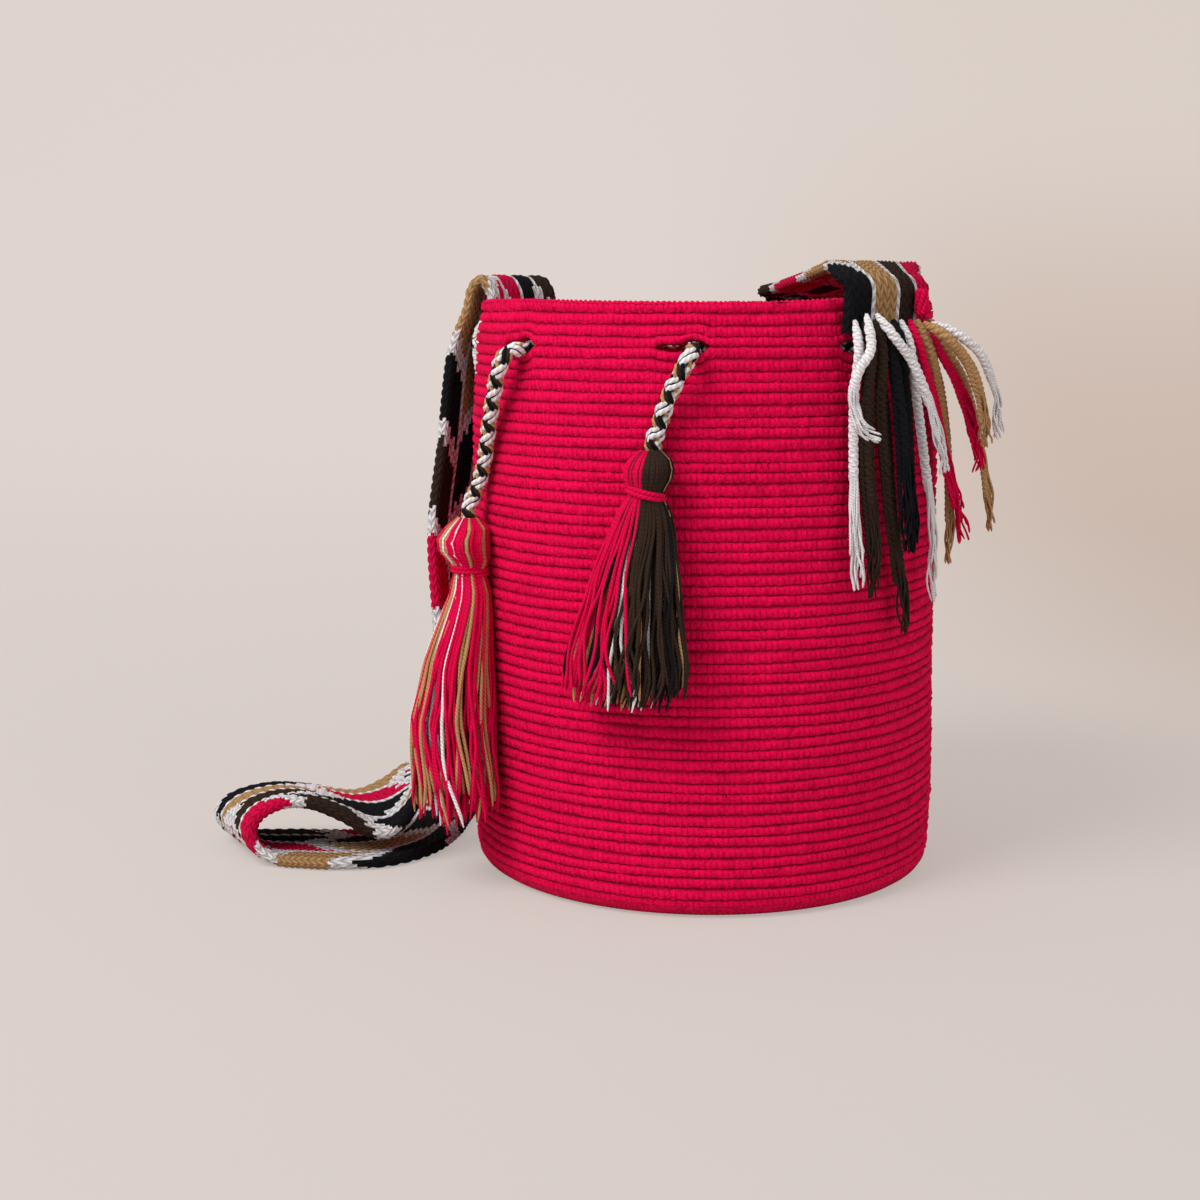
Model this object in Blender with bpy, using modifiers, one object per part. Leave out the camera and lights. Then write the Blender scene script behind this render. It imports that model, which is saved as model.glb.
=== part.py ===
# Wayuu mochila bag: a crocheted bucket bag with a laced drawstring, two tassels,
# and one woven shoulder strap sewn on at the sides, with its fringes.
# Metres, +Z up. The origin is the centre of the underside. The tassels face -Y.
# An azimuth is measured round the bag from -Y towards +X, in degrees.

import math

import bmesh
import bpy
from mathutils import Vector

# Bag body, crocheted in rounds
BODY_HEIGHT = 0.305
BASE_RADIUS = 0.1247
BASE_EDGE = 0.0105  # height of the rounded edge of the base
BELLY_RADIUS = 0.126
BELLY_HEIGHT = 0.046
WALL_RADIUS = 0.125
WALL_LOW = 0.140
WALL_HIGH = 0.242
LACING_RADIUS = 0.1228
RIM_RADIUS = 0.1195
WALL = 0.0052
BASE_THICKNESS = 0.006
ROW_COUNT = 54
ROW_DEPTH = 0.0011  # how far a groove lies below the crest of its row
BODY_SIDES = 28

# Lacing slits
SLIT_COUNT = 8
SLIT_HEIGHT_UP = 0.2815
SLIT_LENGTH = 0.021
SLIT_OPENING = 0.0045
BACK_SLIT_LENGTH = 0.032
PASSAGE = 0.0118  # height of an opening that the drawstring goes through
PASSAGE_LENGTH = 0.023
CORD_IN_SLIT = 4.0  # azimuth from a front slit's middle to where the cord leaves it
CORD_TURN = 1.7  # azimuth by which a front passage follows the cord as it turns inside

# Cords and yarn
DRAWSTRING = 0.0095
TAIL = 0.0055
STITCH = 0.0022
TOUCH = 0.0003  # gap left between touching solids
CLEAR = 0.0009  # cord to wall, which also covers the wall's flat facets

# Shoulder strap
STRAP_WIDTH = 0.062
STRAP_THICKNESS = 0.007
RIGHT_SEAM = 75.0
LEFT_SEAM = -92.0
STRAP_STEP = 0.0085
STRAP_END_UP = 0.2895  # lower end of the strap at each seam

COLOURS = {
    "crimson": (0.62, 0.004, 0.05, 1.0),
    "white": (0.80, 0.78, 0.80, 1.0),
    "tan": (0.45, 0.26, 0.10, 1.0),
    "brown": (0.040, 0.024, 0.012, 1.0),
    "black": (0.008, 0.008, 0.010, 1.0),
}

BODY_SILHOUETTE = (
    (BASE_EDGE, BASE_RADIUS),
    (BELLY_HEIGHT, BELLY_RADIUS),
    (WALL_LOW, WALL_RADIUS),
    (WALL_HIGH, WALL_RADIUS),
    (SLIT_HEIGHT_UP, LACING_RADIUS),
    (BODY_HEIGHT, RIM_RADIUS),
)


# The scene, its collections and materials
for old in list(bpy.data.objects):
    bpy.data.objects.remove(old, do_unlink=True)

bag = bpy.data.collections.new("wayuu_mochila_bag")
bpy.context.scene.collection.children.link(bag)
cutters = bpy.data.collections.new("cutters")
bpy.context.scene.collection.children.link(cutters)


def yarn_material(name, colour):
    """Matt yarn of one colour, for one object."""
    made = bpy.data.materials.new(name)
    made.use_nodes = True
    shader = made.node_tree.nodes["Principled BSDF"]
    shader.inputs["Base Color"].default_value = COLOURS[colour]
    shader.inputs["Roughness"].default_value = 0.9
    shader.inputs["Metallic"].default_value = 0.0
    made.diffuse_color = COLOURS[colour]
    return made


def add_piece(name, data, colour):
    """Put a mesh or curve in the bag's collection with its own yarn."""
    piece = bpy.data.objects.new(name, data)
    bag.objects.link(piece)
    piece.data.materials.append(yarn_material(name, colour))
    return piece


# Places and smooth routes
def around(azimuth, radius, height):
    """The point at this azimuth and radius round the bag's axis."""
    turn = math.radians(azimuth)
    return Vector((radius * math.sin(turn), -radius * math.cos(turn), height))


def between(knots, position):
    """Catmull-Rom value at a position counted in knots."""
    span = max(0, min(int(position), len(knots) - 2))
    part = position - span
    first = knots[max(span - 1, 0)]
    second = knots[span]
    third = knots[span + 1]
    fourth = knots[min(span + 2, len(knots) - 1)]
    return 0.5 * (
        2 * second
        + (third - first) * part
        + (2 * first - 5 * second + 4 * third - fourth) * part**2
        + (3 * second - first - 3 * third + fourth) * part**3
    )


def evenly(knots, spacing):
    """Positions at every knot, with even steps of about the spacing between them."""
    chosen = [0.0]
    for span in range(len(knots) - 1):
        middle = between(knots, span + 0.5)
        length = (middle - knots[span]).length + (knots[span + 1] - middle).length
        steps = max(1, round(length / spacing))
        chosen += [span + (step + 1) / steps for step in range(steps)]
    return chosen


def wall_radius(height):
    """Radius of the body's row crests at a height."""
    for (low, at_low), (high, at_high) in zip(BODY_SILHOUETTE, BODY_SILHOUETTE[1:]):
        if height <= high:
            share = max(0.0, (height - low) / (high - low))
            return at_low + (at_high - at_low) * (1 - math.cos(math.pi * share)) / 2
    return RIM_RADIUS


def tube(name, route, diameter, colour, spacing):
    """A round cord with filled ends through the points of a route."""
    curve = bpy.data.curves.new(name, "CURVE")
    curve.dimensions = "3D"
    curve.bevel_depth = diameter / 2
    curve.bevel_resolution = 2
    curve.use_fill_caps = True
    line = curve.splines.new("POLY")
    points = [between(route, p) for p in evenly(route, spacing)]
    line.points.add(len(points) - 1)
    for point, place in zip(line.points, points):
        point.co = (*place, 1.0)
        point.radius = 1.0
    line.use_smooth = True
    return add_piece(name, curve, colour)


# Bag body: base, wall and rim, turned round the axis with a ridge for each row
def body_profile():
    """Points from the middle of the inner floor up the inside and down the outside."""
    inner = [(0.0, BASE_THICKNESS), (BASE_RADIUS - 2.2 * WALL, BASE_THICKNESS)]
    inner += [
        (wall_radius(height) - WALL, height)
        for height in (BELLY_HEIGHT / 2, BELLY_HEIGHT, WALL_LOW, WALL_HIGH)
    ]
    inner += [
        (LACING_RADIUS - WALL, SLIT_HEIGHT_UP),
        (RIM_RADIUS - WALL, BODY_HEIGHT - ROW_DEPTH),
        (RIM_RADIUS - WALL / 2, BODY_HEIGHT),
    ]
    rows = []
    row_pitch = (BODY_HEIGHT - BASE_EDGE) / ROW_COUNT
    for row in range(ROW_COUNT, 0, -1):
        top = BASE_EDGE + row * row_pitch
        crest = top - row_pitch / 2
        rows.append((wall_radius(top) - ROW_DEPTH, top - ROW_DEPTH * (row == ROW_COUNT)))
        rows.append((wall_radius(crest), crest))
    edge_steps = 3
    edge = []
    for step in range(edge_steps + 1):
        turn = math.radians(90) * step / edge_steps
        edge.append(
            (
                BASE_RADIUS - BASE_EDGE * (1 - math.cos(turn)),
                BASE_EDGE * (1 - math.sin(turn)),
            )
        )
    return inner + rows + edge + [(0.0, 0.0)]


def make_body():
    mesh = bpy.data.meshes.new("bag_body")
    outline = body_profile()
    edges = [(i, i + 1) for i in range(len(outline) - 1)]
    mesh.from_pydata([(radius, 0.0, height) for radius, height in outline], edges, [])
    body = add_piece("bag_body", mesh, "crimson")
    turned = body.modifiers.new("turned", "SCREW")
    turned.axis = "Z"
    turned.angle = math.radians(360)
    turned.steps = BODY_SIDES
    turned.render_steps = BODY_SIDES
    turned.use_merge_vertices = True
    turned.merge_threshold = 0.0001
    turned.use_smooth_shade = True
    return body


def slit_azimuth(number):
    return (number + 0.5) * 360 / SLIT_COUNT


def slit_cutter(name, azimuth, length, opening):
    """A flattened cylinder that passes through the wall at a slit."""
    reach = 4 * WALL
    mesh = bpy.data.meshes.new(name)
    form = bmesh.new()
    bmesh.ops.create_cone(
        form, cap_ends=True, segments=12, radius1=0.5, radius2=0.5, depth=reach
    )
    for vert in form.verts:
        vert.co.x *= length
        vert.co.y *= opening
    form.to_mesh(mesh)
    form.free()
    cutter = bpy.data.objects.new(name, mesh)
    cutter.location = around(azimuth, LACING_RADIUS - WALL / 2, SLIT_HEIGHT_UP)
    cutter.rotation_euler = (math.radians(90), 0.0, math.radians(azimuth))
    cutter.hide_render = True
    cutter.display_type = "WIRE"
    cutters.objects.link(cutter)


def cut_slits(body):
    """Narrow slits at the front with a round passage, and open ones behind."""
    for number in range(SLIT_COUNT):
        azimuth = slit_azimuth(number)
        in_front = number in (0, SLIT_COUNT - 1)
        length = SLIT_LENGTH if in_front else BACK_SLIT_LENGTH
        opening = SLIT_OPENING if in_front else PASSAGE
        slit_cutter(f"slit_{number}", azimuth, length, opening)
        if in_front:
            turn_in = CORD_TURN if number == 0 else -CORD_TURN
            side = azimuth + CORD_IN_SLIT + turn_in
            slit_cutter(f"passage_{number}", side, PASSAGE_LENGTH, PASSAGE)
    cut = body.modifiers.new("slits", "BOOLEAN")
    cut.operation = "DIFFERENCE"
    cut.operand_type = "COLLECTION"
    cut.collection = cutters
    cut.solver = "EXACT"


# Drawstring: laced out and in through the slits, its ends hanging at the front
CORD_INSIDE = LACING_RADIUS - WALL - DRAWSTRING / 2 - CLEAR
CORD_OUTSIDE = LACING_RADIUS + DRAWSTRING / 2 + CLEAR
CORD_IN_WALL = LACING_RADIUS - WALL / 2
RIGHT_DROP = -0.0460
LEFT_DROP = -0.0868
RIGHT_END = (
    (26.2, 0.0085, -0.0015),
    (24.6, 0.0120, -0.0085),
    (22.6, 0.0105, -0.017),
    (20.6, 0.0085, -0.028),
    (19.3, 0.0072, -0.038),
    (18.5, 0.0078, -0.0415),
    (18.4, 0.0078, RIGHT_DROP),
)
LEFT_END = (
    (-18.8, 0.0085, -0.0015),
    (-20.2, 0.0120, -0.0090),
    (-23.2, 0.0108, -0.022),
    (-27.6, 0.0085, -0.041),
    (-31.6, 0.0072, -0.060),
    (-34.2, 0.0095, -0.074),
    (-34.6, 0.0130, -0.0815),
    (-34.6, 0.0130, LEFT_DROP),
)


def hanging_end(route):
    """Points of a free end: azimuth, distance out from the lacing radius, and drop."""
    return [
        around(azimuth, LACING_RADIUS + out, SLIT_HEIGHT_UP + drop)
        for azimuth, out, drop in route
    ]


def drawstring_route():
    level = SLIT_HEIGHT_UP
    right_slit = slit_azimuth(0) + CORD_IN_SLIT
    left_slit = slit_azimuth(-1) + CORD_IN_SLIT
    route = list(reversed(hanging_end(RIGHT_END)))
    route.append(around(right_slit, CORD_IN_WALL, level))
    route.append(around(right_slit + 2.2, CORD_INSIDE + 0.0025, level))
    route.append(around(right_slit + 6.5, CORD_INSIDE, level))
    outside = False
    for number in range(1, SLIT_COUNT - 1):
        through = slit_azimuth(number)
        before = CORD_OUTSIDE if outside else CORD_INSIDE
        after = CORD_INSIDE if outside else CORD_OUTSIDE
        route.append(around(through - 18.5, before, level))
        route.append(around(through - 5.6, before, level))
        route.append(around(through, CORD_IN_WALL, level))
        route.append(around(through + 5.6, after, level))
        outside = not outside
    route.append(around(left_slit + 360 - 20, CORD_INSIDE, level))
    route.append(around(left_slit - 6.5, CORD_INSIDE, level))
    route.append(around(left_slit - 2.2, CORD_INSIDE + 0.0025, level))
    route.append(around(left_slit, CORD_IN_WALL, level))
    return route + hanging_end(LEFT_END)


# Tassels: a yarn bundle with a bulb head, a tied neck and a fluted skirt
TASSEL_POINTS = 30
FLUTES = 8
FLUTE_DEPTH = 0.055
RIGHT_HEAD_WIDTH = 0.024
RIGHT_HEAD_LENGTH = 0.020
RIGHT_SKIRT_WIDTH = 0.066
RIGHT_SKIRT_LENGTH = 0.102
LEFT_HEAD_WIDTH = 0.029
LEFT_HEAD_LENGTH = 0.026
LEFT_SKIRT_WIDTH = 0.054
LEFT_SKIRT_LENGTH = 0.130
NECK_WIDTH = 0.015
RIGHT_SKIRT_THICKNESS = 0.028
LEFT_SKIRT_THICKNESS = 0.042
RIGHT_LEAN = -5.6  # azimuth that the right skirt's end has moved
LEFT_LEAN = 4.3


def tassel_sections(head_width, head_length, skirt_width, skirt_length, thickness):
    """Down the tassel: distance from the top, half width, half thickness, flutes."""
    sections = []
    for share, size in ((0.0, 0.42), (0.12, 0.70), (0.34, 0.96), (0.58, 1.0), (0.82, 0.82)):
        half = head_width / 2 * size
        sections.append((head_length * share, half, half * 0.9, 0.3))
    for share in (0.99, 1.07):
        sections.append((head_length * share, NECK_WIDTH / 2, NECK_WIDTH / 2, 0.2))
    for share in (0.07, 0.18, 0.36, 0.58, 0.80, 0.94, 1.0):
        spread = share**0.62 * (1.0 - 0.08 * max(0.0, share - 0.8) * 5)
        half_width = NECK_WIDTH / 2 + (skirt_width - NECK_WIDTH) / 2 * spread
        half_depth = NECK_WIDTH / 2 + (thickness - NECK_WIDTH) / 2 * min(1, 2 * share)
        down = head_length * 1.07 + skirt_length * share
        sections.append((down, half_width, half_depth, 1.0))
    return sections


def tassel_centre(top, lean, length, down, half_depth):
    """Azimuth, radius and height of the tassel's middle, clear of the wall."""
    azimuth, out, height = top
    share = down / length
    level = height - down
    tied = NECK_WIDTH / 2 * (1 + FLUTE_DEPTH) + STITCH + TOUCH
    clear = wall_radius(level) + CLEAR + max(half_depth * (1 + FLUTE_DEPTH), tied)
    start = LACING_RADIUS + out
    radius = start + (clear - start) * min(1.0, 2.2 * share)
    return azimuth + lean * share, max(radius, clear), level


def make_tassel(name, colour, top, lean, sections):
    """Loft the sections down from the top, leaning round the wall."""
    length = sections[-1][0]
    mesh = bpy.data.meshes.new(name)
    form = bmesh.new()
    rings = []
    for down, half_width, half_depth, fluted in sections:
        side, radius, level = tassel_centre(top, lean, length, down, half_depth)
        centre = around(side, radius, level)
        across = Vector((math.cos(math.radians(side)), math.sin(math.radians(side)), 0.0))
        outward = Vector((across.y, -across.x, 0.0))
        ring = []
        for step in range(TASSEL_POINTS):
            turn = 2 * math.pi * step / TASSEL_POINTS
            size = 1 + FLUTE_DEPTH * fluted * math.cos(FLUTES * turn)
            offset = across * half_width * math.cos(turn) * size
            offset += outward * half_depth * math.sin(turn) * size
            ring.append(form.verts.new(centre + offset))
        rings.append(ring)
    for upper, lower in zip(rings, rings[1:]):
        for step in range(TASSEL_POINTS):
            after = (step + 1) % TASSEL_POINTS
            form.faces.new((upper[step], upper[after], lower[after], lower[step]))
    form.faces.new(list(reversed(rings[0])))
    form.faces.new(rings[-1])
    bmesh.ops.recalc_face_normals(form, faces=form.faces)
    form.to_mesh(mesh)
    form.free()
    mesh.shade_smooth()
    return add_piece(name, mesh, colour)


def make_tie(name, top, lean, sections, head_length):
    """Red yarn wound round the neck: a ring that sits in it."""
    length = sections[-1][0]
    down = head_length * 1.03
    side, radius, level = tassel_centre(top, lean, length, down, NECK_WIDTH / 2)
    yarn = STITCH
    inner = NECK_WIDTH / 2 * (1 + FLUTE_DEPTH * 0.3) + TOUCH
    bpy.ops.mesh.primitive_torus_add(
        major_segments=20,
        minor_segments=6,
        major_radius=inner + yarn / 2,
        minor_radius=yarn / 2,
        location=around(side, radius, level),
    )
    tie = bpy.context.object
    tie.name = name
    tie.data.name = name
    for owner in list(tie.users_collection):
        owner.objects.unlink(tie)
    bag.objects.link(tie)
    tie.data.materials.append(yarn_material(name, "crimson"))
    tie.data.shade_smooth()
    return tie


# Shoulder strap: stations of centre, direction across the band and its rise
def seam_stations(seam, route, across):
    """Stations near a seam: distance out from it, height and azimuth offset."""
    seat = wall_radius(STRAP_END_UP) + STRAP_THICKNESS / 2 + TOUCH
    stations = []
    for out, height, offset in route:
        side = seam + offset
        place = around(side, seat + out, height)
        stations.append((place, side + across, 0.0, 1 / (seat + out)))
    return stations


LEFT_HANG = (
    (0.0003, STRAP_END_UP, 0.0),
    (0.0003, 0.300, 0.0),
    (0.0010, 0.3095, 0.0),
    (0.0070, 0.3165, 0.0),
    (0.0135, 0.3115, 0.3),
    (0.0165, 0.299, 1.0),
)
FLOOR_LEVEL = STRAP_THICKNESS / 2 + TOUCH
LEFT_FLOOR = (
    ((-0.147, -0.005, 0.270), 92, -6),
    ((-0.142, -0.022, 0.220), 93, -13),
    ((-0.137, -0.040, 0.170), 95, -14),
    ((-0.127, -0.054, 0.115), 102, -14),
    ((-0.125, -0.068, 0.072), 111, -6),
    ((-0.130, -0.081, 0.044), 116, 12),
    ((-0.141, -0.092, 0.0305), 122, 22),
    ((-0.152, -0.100, 0.0255), 122, 13),
    ((-0.165, -0.109, 0.0270), 124, -3),
    ((-0.180, -0.119, 0.0320), 127, -7),
    ((-0.197, -0.130, 0.0330), 137, -5),
    ((-0.211, -0.1395, 0.0275), 146, -3),
    ((-0.217, -0.1435, 0.0185), 151, -2),
    ((-0.213, -0.1415, 0.0090), 150, -1),
    ((-0.202, -0.137, FLOOR_LEVEL + 0.0005), 147, 0),
    ((-0.184, -0.127, FLOOR_LEVEL), 133, 0),
    ((-0.165, -0.117, FLOOR_LEVEL), 125, 0),
    ((-0.151, -0.104, FLOOR_LEVEL), 145, 0),
    ((-0.149, -0.084, FLOOR_LEVEL), 168, 0),
    ((-0.157, -0.060, FLOOR_LEVEL), 188, 0),
    ((-0.170, -0.035, FLOOR_LEVEL), 200, 0),
    ((-0.189, 0.013, FLOOR_LEVEL), 190, 0),
    ((-0.188, 0.074, FLOOR_LEVEL), 160, 0),
    ((-0.154, 0.130, FLOOR_LEVEL), 131, 0),
    ((-0.108, 0.157, FLOOR_LEVEL), 104, 0),
    ((-0.066, 0.155, FLOOR_LEVEL + 0.001), 62, 0),
)
BACK_CLIMB = (
    (-157.5, 0.0060, 0.018),
    (-158.5, 0.0022, 0.045),
    (-162.0, 0.0014, 0.100),
    (-168.0, 0.0014, 0.180),
    (-174.0, 0.0060, 0.240),
    (-178.5, 0.0130, 0.280),
    (-180.5, 0.0125, 0.300),
)
MOUTH_ARCH = (
    ((0.002, 0.1225, 0.3100), 0),
    ((0.011, 0.101, 0.3105), 6),
    ((0.037, 0.073, 0.3125), 20),
    ((0.067, 0.041, 0.3165), 36),
    ((0.090, 0.012, 0.3205), 54),
    ((0.1035, -0.014, 0.3215), 67),
)
RIGHT_FOLD = (
    (-0.0040, 0.3165, 0.0),
    (0.0012, 0.3115, 0.0),
    (0.0010, 0.300, 0.0),
    (0.0003, STRAP_END_UP, 0.0),
)


def strap_stations():
    """Every station from the left seam, over the floor and the mouth, to the right."""
    stations = seam_stations(LEFT_SEAM, LEFT_HANG, 180)
    for place, across, rise in LEFT_FLOOR:
        stations.append((Vector(place), across, rise, 0.0))
    for azimuth, gap, height in BACK_CLIMB:
        radius = wall_radius(height) + STRAP_THICKNESS / 2 + gap
        stations.append((around(azimuth, radius, height), azimuth + 180, 0.0, 1 / radius))
    for place, across in MOUTH_ARCH:
        stations.append((Vector(place), across, 0.0, 0.0))
    return stations + seam_stations(RIGHT_SEAM, RIGHT_FOLD, 0)


def across_vector(turn, rise):
    flat = math.cos(math.radians(rise))
    return Vector(
        (
            math.cos(math.radians(turn)) * flat,
            math.sin(math.radians(turn)) * flat,
            math.sin(math.radians(rise)),
        )
    )


def make_strap(stations):
    """A band ruled between its two edges, thickened with Solidify."""
    near = []
    far = []
    for centre, turn, rise, bend in stations:
        reach = across_vector(turn, rise) * STRAP_WIDTH / 2
        near.append(centre - reach)
        far.append(centre + reach)
    centres = [station[0] for station in stations]
    bends = [station[3] for station in stations]
    columns = (0.0, 0.33, 0.67, 1.0)
    mesh = bpy.data.meshes.new("shoulder_strap")
    form = bmesh.new()
    rows = []
    for position in evenly(centres, STRAP_STEP):
        one_edge = between(near, position)
        other_edge = between(far, position)
        inward = Vector((-one_edge.x - other_edge.x, -one_edge.y - other_edge.y, 0.0))
        bend = max(0.0, between(bends, position))
        row = []
        for column in columns:
            reach = (column - 0.5) * STRAP_WIDTH
            point = one_edge.lerp(other_edge, column)
            point += inward.normalized() * bend * reach**2 / 2
            point.z = max(point.z, FLOOR_LEVEL)
            row.append(form.verts.new(point))
        rows.append(row)
    for first, second in zip(rows, rows[1:]):
        for i in range(len(columns) - 1):
            form.faces.new((first[i], first[i + 1], second[i + 1], second[i]))
    form.to_mesh(mesh)
    form.free()
    mesh.shade_smooth()
    strap = add_piece("shoulder_strap", mesh, "tan")
    thick = strap.modifiers.new("thickness", "SOLIDIFY")
    thick.thickness = STRAP_THICKNESS
    thick.offset = 0.0
    return strap


# Seam stitching: a row of yarn under each end of the strap, against the wall
def make_stitching(name, seam):
    half_span = math.degrees(STRAP_WIDTH / 2 / LACING_RADIUS) * 0.92
    level = STRAP_END_UP - STITCH / 2 - TOUCH
    radius = wall_radius(level) + STITCH / 2 + TOUCH
    steps = 10
    route = [
        around(seam + half_span * (2 * i / steps - 1), radius, level)
        for i in range(steps + 1)
    ]
    return tube(name, route, STITCH, "crimson", 0.005)


# Fringe tails: azimuth, radius and height of each route point
RIGHT_TAILS = {
    "white_2": [(61.6, 0.1327, 0.296), (61.2, 0.1378, 0.281), (61.6, 0.1335, 0.258),
                (62.0, 0.1330, 0.224), (62.6, 0.1330, 0.187), (63.6, 0.1330, 0.165)],
    "brown_1": [(64.3, 0.1326, 0.296), (64.3, 0.1378, 0.281), (64.6, 0.1345, 0.258),
                (65.4, 0.1335, 0.224), (67.6, 0.1330, 0.189), (67.4, 0.1330, 0.160)],
    "brown_2": [(67.0, 0.1325, 0.296), (67.2, 0.1378, 0.281), (68.6, 0.1345, 0.257),
                (72.2, 0.1330, 0.208), (75.0, 0.1330, 0.182), (79.1, 0.1330, 0.140)],
    "black_1": [(69.7, 0.1328, 0.296), (69.9, 0.1380, 0.281), (71.2, 0.1400, 0.257),
                (72.8, 0.1400, 0.232), (74.5, 0.1395, 0.183)],
    "black_2": [(72.4, 0.1326, 0.296), (72.8, 0.1378, 0.281), (75.6, 0.1350, 0.257),
                (78.8, 0.1335, 0.217), (80.6, 0.1335, 0.180)],
    "white_4": [(75.1, 0.1323, 0.296), (75.8, 0.1378, 0.281), (80.5, 0.1350, 0.253),
                (83.7, 0.1345, 0.230), (87.3, 0.1345, 0.200), (89.3, 0.1345, 0.153)],
    "red_1": [(77.8, 0.1327, 0.296), (79.2, 0.1378, 0.281), (84.6, 0.1360, 0.262),
              (89.5, 0.1360, 0.240), (94.5, 0.1375, 0.215), (102.0, 0.1420, 0.182)],
    "tan_2": [(80.5, 0.1328, 0.296), (82.6, 0.1378, 0.281), (89.5, 0.1350, 0.262),
              (96.0, 0.1342, 0.235), (99.8, 0.1340, 0.205), (101.1, 0.1340, 0.169)],
    "red_2": [(83.2, 0.1325, 0.296), (85.6, 0.1390, 0.281), (91.0, 0.1440, 0.263),
              (96.5, 0.1470, 0.242), (99.3, 0.1490, 0.219)],
    "tan_3": [(85.9, 0.1325, 0.296), (88.8, 0.1390, 0.281), (95.2, 0.1440, 0.262),
              (103.5, 0.1490, 0.226), (110.0, 0.1530, 0.185)],
    "white_1": [(62.9, 0.1376, 0.299), (62.3, 0.1437, 0.283), (59.9, 0.1425, 0.272),
                (59.2, 0.1400, 0.259), (60.6, 0.1420, 0.246), (63.8, 0.1460, 0.238)],
    "white_3": [(65.65, 0.1368, 0.299), (68.0, 0.1440, 0.288), (72.5, 0.1462, 0.275),
                (77.0, 0.1470, 0.256), (79.9, 0.1475, 0.238), (82.7, 0.1480, 0.221)],
    "tan_1": [(79.15, 0.1388, 0.2945), (82.4, 0.1480, 0.2870), (88.0, 0.1530, 0.273),
              (92.5, 0.1550, 0.254), (94.5, 0.1550, 0.232)],
    "white_5": [(82.1, 0.1388, 0.2945), (85.2, 0.1500, 0.2885), (90.7, 0.1570, 0.277),
                (95.5, 0.1595, 0.256), (97.0, 0.1595, 0.236)],
}
LEFT_TAILS = {
    "white_6": [(-80.5, 0.1322, 0.296), (-80.5, 0.1376, 0.281), (-80.0, 0.1335, 0.250),
                (-80.5, 0.1330, 0.205)],
    "black_3": [(-84.0, 0.1322, 0.296), (-84.0, 0.1376, 0.281), (-83.2, 0.1335, 0.250),
                (-83.5, 0.1330, 0.195)],
    "brown_3": [(-88.0, 0.1324, 0.296), (-88.0, 0.1376, 0.281), (-88.0, 0.1335, 0.245),
                (-87.5, 0.1330, 0.203)],
    "tan_4": [(-92.5, 0.1321, 0.296), (-92.5, 0.1376, 0.281), (-92.5, 0.1335, 0.245),
              (-92.5, 0.1330, 0.185)],
    "black_4": [(-97.0, 0.1325, 0.296), (-97.0, 0.1376, 0.281), (-97.5, 0.1335, 0.245),
                (-98.0, 0.1330, 0.175)],
    "red_3": [(-101.5, 0.1322, 0.296), (-101.5, 0.1376, 0.281), (-102.5, 0.1335, 0.245),
              (-104.0, 0.1330, 0.180)],
}
YARN_OF = {"white": "white", "brown": "brown", "black": "black", "red": "crimson", "tan": "tan"}
KNOT_DIAMETER = 0.0075
KNOT_ROUTE = ((81.4, 0.1342, 0.3110), (81.8, 0.1339, 0.2985))


def make_tail(name, route, diameter):
    colour = YARN_OF[name.split("_")[0]]
    points = [around(*place) for place in route]
    return tube(f"tail_{name}", points, diameter, colour, 2 * diameter)


bag_body = make_body()
cut_slits(bag_body)
tube("drawstring", drawstring_route(), DRAWSTRING, "black", 0.0115)

right_top = (*RIGHT_END[-1][:2], SLIT_HEIGHT_UP + RIGHT_DROP - 2 * TOUCH)
left_top = (*LEFT_END[-1][:2], SLIT_HEIGHT_UP + LEFT_DROP - 2 * TOUCH)
right_sections = tassel_sections(
    RIGHT_HEAD_WIDTH,
    RIGHT_HEAD_LENGTH,
    RIGHT_SKIRT_WIDTH,
    RIGHT_SKIRT_LENGTH,
    RIGHT_SKIRT_THICKNESS,
)
left_sections = tassel_sections(
    LEFT_HEAD_WIDTH,
    LEFT_HEAD_LENGTH,
    LEFT_SKIRT_WIDTH,
    LEFT_SKIRT_LENGTH,
    LEFT_SKIRT_THICKNESS,
)
make_tassel("right_tassel", "brown", right_top, RIGHT_LEAN, right_sections)
make_tassel("left_tassel", "crimson", left_top, LEFT_LEAN, left_sections)
make_tie("right_tassel_tie", right_top, RIGHT_LEAN, right_sections, RIGHT_HEAD_LENGTH)
make_tie("left_tassel_tie", left_top, LEFT_LEAN, left_sections, LEFT_HEAD_LENGTH)

make_strap(strap_stations())
make_stitching("right_seam_stitching", RIGHT_SEAM)
make_stitching("left_seam_stitching", LEFT_SEAM)
for tail_name, tail_route in (RIGHT_TAILS | LEFT_TAILS).items():
    make_tail(tail_name, tail_route, TAIL)
tube("strap_end_knot", [around(*place) for place in KNOT_ROUTE], KNOT_DIAMETER, "crimson", 0.006)
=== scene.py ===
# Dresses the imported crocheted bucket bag: yarn by yarn pieces over its plain solids.
# Metres, +Z up, in the frame of the CAD. An azimuth goes round the bag's axis
# from -Y towards +X, in degrees.

import math

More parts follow.
